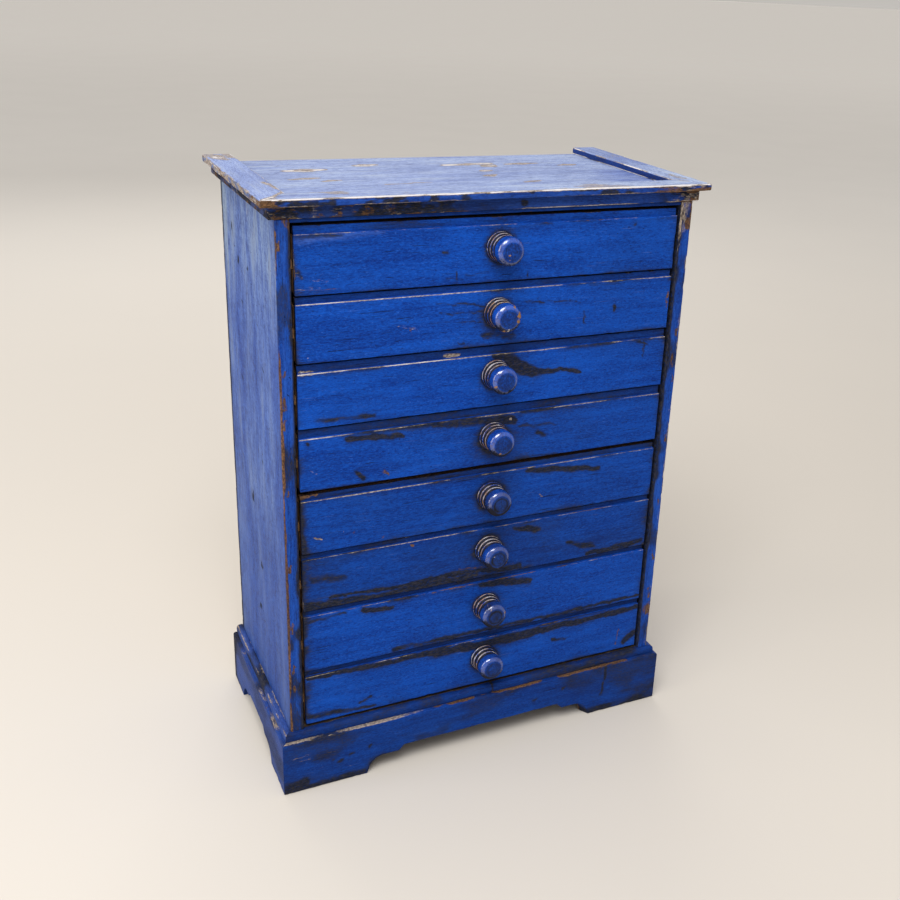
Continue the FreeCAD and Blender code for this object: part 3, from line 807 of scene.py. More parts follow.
def mitred_board(sign, half, nose, back, depth, levels, radii, steps, ends_round, stations=None, shift=None):
    """One board of a frame that is mitred at its front corners: sign 0 is the front one, -1 and 1 the sides.
    radii: low outer, low inner, high inner and high outer corner. steps: bottom, inner side, top, outer
    side."""
    outer = sign * half if sign else nose
    inner = sign * (half - depth) if sign else nose + depth
    corners = [(outer, levels[0]), (inner, levels[0]), (inner, levels[1]), (outer, levels[1])]
    if sign:
        outline = profile([(*corners[k], radii[k], steps[k]) for k in (0, 1, 2, 3)])
        span, axes = (nose, back), (1, 0, 2)
        start = lambda pts: nose + (half - np.abs(pts[:, 0]))
        end = None
    else:
        outline = profile([(*corners[k], radii[k], steps[k - 1]) for k in (3, 2, 1, 0)])
        span, axes = (-half, half), (0, 1, 2)
        start = lambda pts: -half + (pts[:, 0] - nose)
        end = lambda pts: half - (pts[:, 0] - nose)
    stations = whole(*span, 2.2) if stations is None else stations(*span)
    return loft(outline, stations, axes, start, end, ends_round, shift)


def grain_axis(sign):
    """Side pieces have their grain along Y, front pieces along X."""
    return 1 if sign else 0


def strip(sign):
    """Mitred framing strip of the top."""
    lo, hi = box_mm("top_strip_left")
    width, half, nose = hi[0] - lo[0], abs(lo[0]), box_mm("top_strip_front")[0][1]
    z0, z1 = lo[2], hi[2]
    radii, steps = (1.2, 0.3, 1.3, 1.3), (9.0, 1.6, 1.6, 1.4)
    board = mitred_board(sign, half, nose, hi[1], width, (z0, z1), radii, steps, 0.35)
    seed = 41 + sign
    erode(board, seed, 0.55, 0.9)
    x, y, z = board.points.T
    wear = Wear(board, seed, rub=0.9, bare=0.45, grime_and_shade=0.2, line=0.95)
    upper = z > z1 - 1.0
    outer = ~upper
    # the pale of the strips' tops is faded paint and painted sheen
    level = {0: 0.66 + 0.14 * smooth(x, 0, 150), -1: 0.52, 1: 0.48 + 0.34 * smooth(y, 30, -60)}[sign]
    streaks = wear.noise((14, 200, 30) if sign else (200, 14, 30), seed + 3, 4)
    wear.chalk_and_sheen = np.where(upper, level + 0.3 * (streaks - 0.5), 0.02)
    wear.put("grime_and_shade", upper, 0.10 * smooth(streaks, 0.45, 0.7))
    wear.tone = np.where(upper, 1.0, 0.72)
    ragged = wear.noise((10, 10, 5), seed + 5, 4)
    if sign == 0:
        edge = outer & (y < nose + 2)
        right_end = smooth(x, 95, 190)
        rim = band(np.hypot(y - nose - 0.8, z - z1 + 0.8), 1.0)
        wear.add_patches("rub", 1.30 * rim, (50, 20, 20), 48, 0.16, 0.42)
        wear.add("grime_and_shade", edge * (0.12 + 0.62 * smooth(ragged, 0.44, 0.62)))
        wear.add_patches("rub", edge * 0.45, (8, 8, 4), 50, 0.62, 0.74)
        wear.add("bare", smooth(x, -199, -215) * (y < nose + 7) * (z < z1 - 0.8))
        wear.add_patches("rub", edge * right_end * 0.60, (20, 14, 5), 47, 0.46, 0.62)
        wear.add_patches("bare", edge * right_end * 0.62, (24, 14, 6), 49, 0.42, 0.60)
        inner_arris = y - nose - width
    else:
        edge = outer & (np.abs(x) > half - 2)
        wear.put("chalk_and_sheen", edge, 0.30)
        wear.put("tone", edge, 0.45)
        wear.add("rub", edge * 0.34)
        wear.add("grime_and_shade", edge * 0.36 * smooth(ragged, 0.36, 0.62))
        wear.add_patches("bare", edge * 0.50, (14, 16, 6), seed + 6, 0.44, 0.62, 4)
        wear.add_patches("rub", edge * 0.62, (8, 14, 5), seed + 7, 0.40, 0.60, 4)
        back_end = smooth(y, hi[1] - 52, hi[1] - 10) * upper * (sign < 0)
        wear.add("rub", 0.62 * back_end * (0.5 + 0.6 * wear.patches((9, 30, 14), seed + 8, 0.36, 0.56)))
        wear.add_patches("bare", 0.4 * back_end, 16, seed + 9, 0.4, 0.6)
        inner = outer & (np.abs(x) < half - width + 2)
        wear.add("grime_and_shade", 0.45 * inner)
        wear.add_patches("rub", 0.95 * inner * (z < z0 + 1.5), (14, 40, 14), seed + 13, 0.2, 0.45)
        wear.add("bare", edge * smooth(y, nose + 34, nose + 6) * 0.6)
        inner_arris = np.abs(x) - half + width
    mitre = (np.abs(x) - half) + (y - nose)
    wear.add_patches("rub", 0.95 * band(mitre, 2.8) * upper, 12, 44, 0.25, 0.5)
    if sign <= 0:
        wear.mark("rub", x, y, [(-199, -30, 3.5), (-192, -72, 3.5)], 0.85, upper)
        wear.mark("rub", x, y, [(-192, -74, 3.5), (-208, -98, 2.5)], 0.95, upper)
    wear.add_patches("rub", 0.85 * band(inner_arris, 1.4) * upper, (30, 30, 30), 46, 0.42, 0.60)
    wear.add_patches("rub", 0.62 * upper, (26, 60, 30) if sign else (60, 26, 30), 45, 0.60, 0.72, 4)
    place = PLACES[sign]
    make_object("framing_strip_" + place, board, wear, paint, "case", "top_strip_" + place, grain_axis(sign))


side_board(-1)
side_board(1)
top_panel()
top_rail()
for sign in PLACES:
    strip(sign)


# Base

def base_moulding(sign):
    z0, z1 = moulding_lo[2], moulding_hi[2]
    depth, nose = moulding_hi[1] - moulding_lo[1], moulding_lo[1]
    back = box_mm("base_moulding_left")[1][1]
    radii, steps = (0.5, 0, 0, 4.0), (5.0, 5.0 if sign else 1.2, 1.2, 1.2)
    board = mitred_board(sign, case_half + depth, nose, back, depth, (z0, z1), radii, steps, 0.3)
    seed = 51 + sign
    erode(board, seed, 0.35, 0.6)
    x, _, z = board.points.T
    wear = Wear(board, seed, rub=0.3, bare=0.2, grime_and_shade=0.35, line=1.0)
    wear.add("grime_and_shade", 0.12 + 0.40 * wear.patches((40, 40, 20), seed + 4, 0.42, 0.68))
    if sign == 0:
        wear.tone[:] = 0.42
        wear.add_patches("rub", 0.25 * band(z - (z1 - 1.0), 1.0, 1), (60, 20, 20), seed + 5, 0.5, 0.7)
        wear.mark("grime_and_shade", x, z, [(10, z0, 1.4), (10, z1, 1.4)], 1.0)
        wear.mark("bare", x, z, [(11, z0 + 1, 1.0), (11, z1, 0.8)], 0.6)
    else:
        wear.tone[:] = 0.55
        wear.chalk_and_sheen[:] = 0.06
        wear.add_patches("rub", 0.75 * band(z - (z1 - 1.2), 1.6, 1), (20, 34, 20), seed + 5, 0.38, 0.6)
        wear.add_patches("bare", 0.55 * band(z - z0, 1.5, 1), (20, 30, 20), seed + 6, 0.4, 0.6)
    place = PLACES[sign]
    replaced = "base_moulding_" + place
    make_object("cap_moulding_" + place, board, wear, paint, "case", replaced, grain_axis(sign))


# Feet of the plinth: length of the first and the last foot, and of the shelf between cove and step
FOOT_FRONT, FOOT_SIDE = (87.0, 87.0, 15.0), (52.0, 41.0, 8.0)
COVE, COVE_RISE, STEP = 20.0, 18.0, 6.0
COVE_RUN = math.sqrt(COVE ** 2 - (COVE - COVE_RISE) ** 2)
COVE_PLACES = (0.0, 0.02, 0.25, 0.8, 1.6, 2.8, 4.2, 6.0, 8.5, 11.5, 15.0, 18.0, COVE_RUN)
# Marks on the front of the plinth: (x, height, half width, half length) and (x, height)
PLINTH_RUBS = ((-200, 42, 2.6, 9), (-196, 36, 2.0, 6), (-172, 38, 2.2, 8), (-182, 22, 2.0, 4),
               (-150, 14, 1.6, 4))
PLINTH_STAINS = ((-168, 28), (-160, 24), (-150, 30), (-128, 33), (60, 38), (96, 44))


def foot_height(distance, foot, shelf):
    """Height of the plinth's lower edge at a distance from the end of the board, seen from that end."""
    run = distance - foot
    if run <= 0:
        return 0.0
    if run < COVE_RUN:
        return COVE_RISE - COVE + math.sqrt(max(0.0, COVE ** 2 - (COVE_RUN - run) ** 2))
    return COVE_RISE + min(STEP, max(0.0, run - COVE_RUN - shelf))


def plinth(sign):
    z1 = plinth_hi[2]
    depth, nose = plinth_hi[1] - plinth_lo[1], plinth_lo[1]
    half, back = case_half + depth, box_mm("plinth_left")[1][1]
    near_foot, far_foot, shelf = FOOT_SIDE if sign else FOOT_FRONT
    u0, u1 = (nose, back) if sign else (-half, half)

    def feet(u, pts):
        low = min(foot_height(u - u0, near_foot, shelf), foot_height(u1 - u, far_foot, shelf))
        moved = pts.copy()
        moved[:, 1] = pts[:, 1] + low * np.clip((z1 - 6 - pts[:, 1]) / (z1 - 6), 0, 1)
        return moved

    def stations(start, end):
        """Places along the board, close together where its lower edge turns."""
        out = set(np.round(whole(start, end, 2.4), 3))
        turns = list(COVE_PLACES) + [COVE_RUN + shelf + q for q in (0.0, 0.4, STEP - 0.4, STEP)]
        for base, way, foot in ((start, 1, near_foot), (end, -1, far_foot)):
            out.update(round(base + way * (foot + q), 3) for q in turns)
        return sorted(out)
    radii, steps = (0.8, 0.4, 0.3, 2.0), (5.0, 8.0, 2.4, 2.4 if sign else 2.2)
    board = mitred_board(sign, half, nose, back, depth, (0, z1), radii, steps, 0.3, stations, feet)
    seed = 61 + sign
    erode(board, seed, 0.5, 0.9)
    x, y, z = board.points.T
    wear = Wear(board, seed, rub=0.35, bare=0.4, grime_and_shade=0.45, line=1.1)
    wear.add_patches("grime_and_shade", 0.50, (60, 60, 24), seed + 3, 0.40, 0.66, 4)
    top_edge = band(z - z1, 1.1, 1)
    ragged = wear.noise((34, 34, 16), seed + 4)
    if sign == 0:
        wear.tone[:] = 0.56
        # pale line along the top edge, paler to the left: worn undercoat and a painted highlight
        left = smooth(x, -40, -120)
        wear.add("rub", 0.85 * top_edge * (0.35 + 0.65 * left) * smooth(ragged, 0.30, 0.52))
        wear.add_patches("bare", 0.80 * top_edge * (1 - left), (26, 20, 14), 69, 0.40, 0.58)
        wear.mark("grime_and_shade", x, z, [(-214, 6, 7), (-196, 10, 6)], 0.75)
        wear.add_patches("grime_and_shade", 0.42 * smooth(z, 30, 3), (30, 30, 12), 70, 0.34, 0.60)
        for u, v, w, length in PLINTH_RUBS:
            wear.mark("rub", x, z, [(u - length, v, w * 0.7), (u + length, v + 1, w)], 0.50)
        for u, v in PLINTH_STAINS:
            wear.mark("grime_and_shade", x, z, [(u, v, 2.4), (u + 3, v + 1, 1.6)], 0.9)
        wear.mark("grime_and_shade", x, z, [(151, 58, 1.4), (149, 40, 1.2), (146, 22, 1.8)], 1.1)
        crack = band(x - (146 + (z - 22) * 0.12), 2.0, 1)
        wear.add("bare", 0.55 * crack * (z > 10) * smooth(ragged, 0.4, 0.6))
        inside = y > nose + depth - 1
    else:
        wear.tone[:] = 0.50
        wear.chalk_and_sheen[:] = 0.03
        wear.add("rub", 0.60 * top_edge * smooth(ragged, 0.36, 0.58))
        wear.add("grime_and_shade", 0.9 * fall(back - y, 10.0, 1.5))
        wear.add_patches("bare", 0.4 * top_edge, (26, 20, 14), seed + 8, 0.42, 0.6)
        inside = np.abs(x) < half - depth + 1
    wear.put("bare", inside & (z < z1 - 1), 1.2)
    place = PLACES[sign]
    make_object("bracket_plinth_" + place, board, wear, paint, "case", "plinth_" + place, grain_axis(sign))


for sign in PLACES:
    base_moulding(sign)
for sign in PLACES:
    plinth(sign)


# Drawers

LEDGE, LEDGE_DEPTH = 8.0, 3.0
# Marks by drawer and kind: strength and brush-like rows of (x, height, half width) in millimetres
MARKS = {
    1: {"rub": [(0.5, [(-190, 521, 4), (-168, 520, 3)]), (0.5, [(-178, 529, 4), (-164, 526, 3)]),
                (0.42, [(-192, 536, 5), (-184, 530, 3)]), (0.36, [(-190, 562, 5), (-160, 565, 2.5)])],
        "bare": [(0.6, [(-192, 519, 1.6), (-150, 519, 1.2)])],
        "grime_and_shade": [(0.7, [(-190, 538, 4), (-184, 530, 2)]), (0.6, [(-190, 566, 3), (-150, 566, 2)]),
                  (0.75, [(-52, 521.5, 1.6), (-46, 521, 1.4)]), (0.5, [(-32, 523, 1.6), (-10, 524, 1.6)]),
                  (0.8, [(-57, 546, 1.6), (-50, 545, 1.2)]), (0.8, [(143, 560.7, 2.6)]),
                  (0.8, [(30, 526, 0.9), (30, 518, 0.9)]), (0.8, [(-42, 527, 0.9), (-42, 519, 0.9)])],
        "chalk_and_sheen": [(0.05, [(-188, 563, 4), (-150, 565, 3), (-112, 567, 1.4)])]},
    2: {"rub": [(0.48, [(-97, 480, 3), (-80, 476, 3)]), (0.6, [(-181, 458, 2.2)])],
        "bare": [(0.45, [(-86, 478, 2.2), (-84, 458, 1.6)]), (0.7, [(188.5, 490, 1.4), (188.8, 474, 1.6)])],
        "grime_and_shade": [(0.75, [(-14, 463, 4), (18, 461, 5)]), (0.7, [(-60, 498, 1.2), (-12, 492, 1.4)]),
                  (0.7, [(-58, 488, 1.0), (-14, 486, 1.2)]), (0.65, [(-66, 480, 0.9), (-16, 477, 1.0)]),
                  (0.7, [(28, 493, 1.2), (90, 488, 1.0)]), (0.8, [(128, 480, 2.6), (128, 476, 2)]),
                  (0.7, [(94, 478, 1.2), (96, 466, 1)]), (0.8, [(-38, 459, 1.6), (-32, 458, 1.2)])]},
    3: {"rub": [(1.1, [(-188, 444, 2.2), (-176, 443, 1.6)]), (1.1, [(-50, 446, 2.2), (-36, 446, 1.6)])],
        "grime_and_shade": [(1.25, [(-2, 442, 2.5), (14, 439, 6.5), (27, 428, 8.0), (41, 421, 6.5), (52, 421, 2.6),
                     (72, 420, 1.8), (92, 415.6, 1.6)]), (0.7, [(158, 441, 1.4), (172, 436, 1.4)]),
                  (0.8, [(166, 441, 1.2), (168, 424, 1.2)]), (0.7, [(-176, 398, 3), (-120, 396, 3)])]},
    4: {"rub": [(1.2, [(19.5, 374.5, 1.7)]), (0.6, [(-181, 349, 1.6), (-176, 345, 1.2)])],
        "bare": [(0.6, [(-112, 338, 2.4), (-107, 334, 2)])],
        "grime_and_shade": [(1.0, [(-146, 376.5, 3.2), (-100, 373, 5.0), (-90, 371, 2.0)]),
                  (1.05, [(-62, 378, 3.4), (-18, 377.5, 6.5), (6, 376, 7.0), (24, 373, 5.0)]),
                  (1.1, [(-183, 375.6, 2.4)]), (0.95, [(-138, 342, 2.0), (-131, 334, 3.0)]),
                  (0.8, [(49, 357, 3.5), (56, 352, 3)]), (0.6, [(30, 366, 3.0), (70, 362, 2)])]},
    5: {"rub": [(1.0, [(-151.7, 281.5, 1.6)]), (0.85, [(-180, 279, 1.0), (-174, 277.5, 1.4)]),
                (0.75, [(55, 287, 1.0), (59, 283, 1.0)])],
        "bare": [(1.2, [(-190, 324, 3.0), (-176, 323.5, 1.2)]), (0.6, [(-141, 283, 2.2), (-140, 279, 2)]),
                 (0.55, [(-111, 268.6, 2.4)])],
        "grime_and_shade": [(1.0, [(40, 316, 3.2), (80, 311, 4.0), (126, 305, 2.6)]),
                  (0.6, [(-60, 320, 2.0), (-10, 318, 2.4)])]},
    6: {"bare": [(0.65, [(-30, 216, 1.0), (30, 211, 1.0)]), (0.7, [(-83, 253.5, 2.4)])],
        "grime_and_shade": [(1.35, [(-192, 206, 7.0), (-168, 205.5, 5.6), (-120, 204.5, 3.2), (-50, 205.5, 3.6),
                     (-10, 205, 2.2)]),
                  (1.3, [(-164, 213, 1.6), (-94, 210, 2.2), (-40, 212, 3.0), (10, 208, 3.4),
                     (38, 206.5, 3.6)]), (0.85, [(30, 252, 3), (56, 246, 5)]),
                  (0.9, [(96, 222, 3), (124, 214, 5)]),
                  (1.15, [(120, 206, 3.0), (150, 206, 3.6), (188, 209, 3.6)]),
                  (0.7, [(-180, 236, 8), (-150, 232, 5)])]},
    7: {"bare": [(0.5, [(-60, 195, 1.6), (-20, 195, 1.4)])],
        "grime_and_shade": [(1.05, [(-130, 191, 3.2), (-102, 187, 3.0)]),
                  (1.25, [(-4, 193, 4.0), (24, 190, 5.5), (52, 187, 3.4)]),
                  (0.8, [(-190, 190, 3), (-150, 192, 2)]),
                  (0.85, [(-100, 138, 4), (40, 137, 3), (190, 138, 2.4)])]},
    8: {"rub": [(0.8, [(-143, 96, 1.2)]), (0.7, [(-106, 89, 1.1)])],
        "bare": [(0.75, [(168, 98, 1.4), (165, 80, 2.0)])],
        "grime_and_shade": [(1.25, [(-190, 126, 2.6), (-120, 124.5, 3.0), (-60, 122.5, 4.2), (0, 119, 6.8),
                     (30, 119.5, 6.4), (90, 121, 4.2), (190, 123, 3.4)]),
                  (1.2, [(176, 80, 5.0), (188, 88, 5.0)]), (1.0, [(-136, 83.5, 1.4), (-124, 88, 1.6)]),
                  (0.8, [(84, 105, 2.4), (100, 103, 2.0)]), (0.8, [(-190, 80, 5), (-120, 76, 2)])]},
}


Drawer = collections.namedtuple("Drawer", "ledge ledge_rub ledge_bare shade age right_drop soil")

# By drawer: ledge's share of the full height, rub and bare wood on its arris, tone above it (dirt and
# painted shade of the drawer above), tone of the face, how much that drops to the right, and soiling
DRAWERS = {
    1: Drawer(0.85, 0.42, 0.45, 0.80, 1.00, 0.22, 0.08),
    2: Drawer(0.75, 1.00, 0.15, 0.52, 1.00, 0.12, 0.11),
    3: Drawer(0.95, 1.05, 0.15, 0.42, 0.98, 0.10, 0.11),
    4: Drawer(1.00, 0.90, 0.25, 0.42, 0.95, 0.18, 0.24),
    5: Drawer(0.66, 0.85, 0.30, 0.36, 0.78, 0.02, 0.25),
    6: Drawer(0.55, 0.55, 0.45, 0.42, 0.66, 0.00, 0.31),
    7: Drawer(0.55, 0.45, 0.55, 0.36, 0.92, 0.02, 0.14),
    8: Drawer(0.62, 0.40, 0.35, 0.32, 0.90, 0.02, 0.17),
}


def drawer_front(number):
    name = "drawer_%d" % number
    drawer = DRAWERS[number]
    (_, y0, z0), (half, y1, z1) = box_mm(name + "_front")
    lap = box_mm(name + "_sides")[0][1] - y0
    inner = box_mm(name + "_back")[1][0]
    ledge_z = z1 - LEDGE * drawer.ledge
    outline = profile([
        (y0, z0, 0.9, 7.0), (y1, z0, 0.3, 8.0), (y1, z1, 0.4, 7.0), (y0 + LEDGE_DEPTH, z1, 0.5, 1.6),
        (y0 + LEDGE_DEPTH, ledge_z, 0, 1.2), (y0, ledge_z, 0.8, 1.5),
    ])
    stations = [-half] + spread(-half, -inner, 2.0, True, False) + [-inner - 0.01, -inner]
    stations += spread(-inner, inner, 1.6, False, False) + [inner, inner + 0.01]
    stations += spread(inner, half, 2.0, False, True) + [half]

    def lapped(x, pts):
        if abs(x) <= inner:
            return pts
        moved = pts.copy()
        moved[:, 0] = np.minimum(moved[:, 0], y0 + lap)
        return moved
    board = loft(outline, stations, (0, 1, 2), shift=lapped)
    seed = 100 + 7 * number
    erode(board, seed, 0.35, 0.7, 2.0, 0.25)
    x, y, z = board.points.T
    wear = Wear(board, seed, rub=0.30, bare=0.30, grime_and_shade=0.30, line=0.8)
    face = y < y0 + 1.6
    above = z > ledge_z + 0.3

    # ledge and its arris
    line = band(np.hypot(y - y0, z - ledge_z), 0.95)
    uneven = wear.noise((46, 8, 8), seed + 2)
    rubbed = smooth(uneven, 0.22, 0.56) * (1.0 - 0.28 * smooth(x, -120, 60))
    wear.add("rub", 1.25 * line * drawer.ledge_rub * rubbed)
    wear.add_patches("bare", line * drawer.ledge_bare, (24, 8, 8), seed + 3, 0.42, 0.6)
    wear.add("grime_and_shade", above * (0.08 + 0.35 * wear.patches((50, 9, 9), seed + 4, 0.45, 0.66, 4)))
    wear.add("grime_and_shade", face * 0.50 * fall(ledge_z - z - 1.5, 3.0) * smooth(uneven, 0.55, 0.35))

    # tone of the face, and above the ledge a darker tone that is dirt and painted shade of the drawer above;
    # the first drawer is darker at its left end
    age = drawer.age - drawer.right_drop * smooth(x, 20, 150)
    if number == 1:
        age = age - 0.14 * smooth(x, -70, -160)
    wear.tone = np.where(above, drawer.shade, age + 0.22 * (wear.noise((70, 24, 24), seed + 10) - 0.5))

    # soil at the ends, along the lower edge and on the face; around and below the knob soil and the knob's
    # painted shadow
    wear.add_patches("grime_and_shade", 0.42 * fall(half - np.abs(x), 5.0), 18, seed + 5, 0.35, 0.6)
    if number > 4:
        wear.add_patches("grime_and_shade", 0.50 * fall(half + x, 7.0), 12, seed + 12, 0.28, 0.55)
    wear.add_patches("grime_and_shade", 0.45 * fall(z - z0, 3.0), (34, 9, 9), seed + 6, 0.40, 0.62)
    wear.add_patches("grime_and_shade", face * drawer.soil, (60, 20, 22), seed + 7, 0.35, 0.65, 4)
    knob_lo, knob_hi = box_mm(name + "_knob")
    knob_z = (knob_lo[2] + knob_hi[2]) / 2
    # dark ring around the knob and dark patch below it: dirt and the knob's painted shadow
    ring = np.hypot(x - 1.0, z - knob_z + 1.2) - 13.0
    wear.add("grime_and_shade", face * 0.95 * fall(ring, 4.2) * (0.50 + 0.6 * wear.noise(10, seed + 8)))
    soil_and_shadow_below_knob = np.hypot((x - 3) / 1.15, z - knob_z + 9) - 12.0
    wear.add("grime_and_shade", face * 0.42 * fall(soil_and_shadow_below_knob, 8.0) * wear.noise(12, seed + 9))
    for kind, marks in MARKS[number].items():
        for strength, rows in marks:
            wear.mark(kind, x, z, rows, strength, face | above)

    # unpainted behind the face, and dark towards the face: painted shade in the gaps around the drawer
    deep = y - y0 - 0.5 * lap
    wear.put("bare", deep > 0, 1.2 * smooth(deep, 0, 0.4 * lap))
    wear.put("grime_and_shade", deep > 0, 1.2 * smooth(deep, 0.6 * lap, 0))
    make_object(name + "_face_board", board, wear, paint, name, name + "_front", 0)


# How dirty each knob is, and its chips: (angle in degrees, how far out, size, kind, strength); how far out
# and size are shares of the head's radius
KNOB_WEAR = {
    1: (0.15, [(40, 0.9, 0.12, "bare", 0.6), (205, 0.35, 0.10, "bare", 0.75),
               (250, 0.55, 0.08, "bare", 0.7)]),
    2: (0.20, [(15, 0.95, 0.26, "bare", 0.9), (350, 0.8, 0.2, "bare", 0.75), (250, 0.95, 0.22, "bare", 0.85),
               (270, 0.8, 0.15, "rub", 0.8), (60, 0.9, 0.16, "bare", 0.8)]),
    3: (0.22, [(285, 0.72, 0.16, "grime_and_shade", 1.3), (200, 0.9, 0.14, "bare", 0.7)]),
    4: (0.30, [(225, 0.85, 0.22, "grime_and_shade", 1.3), (250, 0.7, 0.14, "bare", 0.7), (180, 0.92, 0.1, "rub", 0.7)]),
    5: (0.62, [(90, 0.8, 0.2, "rub", 0.35)]),
    6: (0.55, [(140, 0.5, 0.2, "rub", 0.5), (330, 0.95, 0.2, "bare", 0.5)]),
    7: (0.60, [(120, 0.85, 0.2, "rub", 0.5), (20, 0.9, 0.2, "bare", 0.55)]),
    8: (0.50, [(130, 0.6, 0.2, "rub", 0.4), (280, 0.9, 0.2, "grime_and_shade", 0.9)]),
}
# The knob: radii of base, head and face, lengths along the axis, rings of the collar, points of the mesh
BASE, HEAD, FACE = 14.5, 13.5, 5.9
HEEL, SHOULDER, DOME = 3.6, 6.0, 0.9
RINGS, RING_WIDTH, RING_DEPTH, TAPER = 3, 4.8, 1.8, 0.7
COLLAR = RINGS * RING_WIDTH
AROUND = 72
RING_STEPS, HEEL_STEPS, NECK_STEPS, SHOULDER_STEPS, FACE_STEPS = 12, 5, 4, 14, 11
TENON = 1.0


def knob_section(reach):
    """Rows from the tenon over the collar to the middle of the face: (radius, how far out, crest)."""
    groove = BASE - RING_DEPTH
    rows = [(0.0, -TENON, 0), (groove, -TENON, 0), (groove + 0.1, 0.0, 0)]
    for ring in range(RINGS):
        crest = BASE - ring * TAPER
        after = crest - RING_DEPTH
        for t in np.arange(1, RING_STEPS + 1) / RING_STEPS:
            arch = math.sin(math.pi * t)
            radius = groove + (after - groove) * t + (crest - (groove + after) / 2) * arch ** 0.9
            rows.append((radius, (ring + t) * RING_WIDTH, arch ** 5))
        groove = after
    for k in range(1, HEEL_STEPS + 1):
        a = math.radians(90 * k / HEEL_STEPS)
        out = COLLAR + HEEL * (1 - math.cos(a)) * 0.9
        rows.append((groove + (HEAD - groove) * math.sin(a), out, 0.35 * (k == 4)))
    flat_start, flat_end = COLLAR + HEEL, reach - SHOULDER
    for k in range(1, NECK_STEPS + 1):
        rows.append((HEAD, flat_start + (flat_end - flat_start) * k / NECK_STEPS, 0))
    for k in range(1, SHOULDER_STEPS + 1):
        a = math.radians(90 * k / SHOULDER_STEPS)
        out = flat_end + (SHOULDER - DOME) * math.sin(a) ** 0.94
        rows.append((FACE + (HEAD - FACE) * math.cos(a) ** 0.94, out, 0.2 * (k in (5, 6, 7))))
    for k in range(1, FACE_STEPS):
        share = 1 - k / FACE_STEPS
        rows.append((FACE * share, reach - DOME * share ** 2, 0.12))
    rows.append((0.0, reach, 0))
    return np.array(rows)


def turned(rows, face_y, centre_z):
    """Turns the section about the knob's axis and closes it with a fan at both ends."""
    slope = np.gradient(rows[:, :2], axis=0)
    side = np.stack([slope[:, 1], -slope[:, 0]], axis=1)
    side /= np.maximum(np.linalg.norm(side, axis=1), 1e-6)[:, None]
    angle = np.linspace(0, 2 * math.pi, AROUND, endpoint=False)
    kept = len(rows) - 2
    points, normals = np.zeros((kept, AROUND, 3)), np.zeros((kept, AROUND, 3))
    for i, ((radius, out, _), (aside, ahead)) in enumerate(zip(rows[1:-1], side[1:-1])):
        points[i, :, 0] = radius * np.cos(angle)
        points[i, :, 1] = face_y - out
        points[i, :, 2] = centre_z + radius * np.sin(angle)
        normals[i, :, 0] = aside * np.cos(angle)
        normals[i, :, 1] = -ahead
        normals[i, :, 2] = aside * np.sin(angle)
    ends = [[0, face_y - rows[k, 1], centre_z] for k in (0, -1)]
    points = np.concatenate([points.reshape(-1, 3), ends])
    normals = np.concatenate([normals.reshape(-1, 3), [[0, 1, 0], [0, -1, 0]]])
    crest = np.concatenate([np.repeat(rows[1:-1, 2], AROUND), [0, 0]])
    faces = []
    for i in range(kept - 1):
        for j in range(AROUND):
            q = (j + 1) % AROUND
            faces.append((i * AROUND + j, (i + 1) * AROUND + j, (i + 1) * AROUND + q, i * AROUND + q))
    back, last = kept * AROUND, (kept - 1) * AROUND
    faces += [(back, j, (j + 1) % AROUND) for j in range(AROUND)]
    faces += [(back + 1, last + (j + 1) % AROUND, last + j) for j in range(AROUND)]
    return Board(points, normals, 20 * (1 - crest), faces), crest


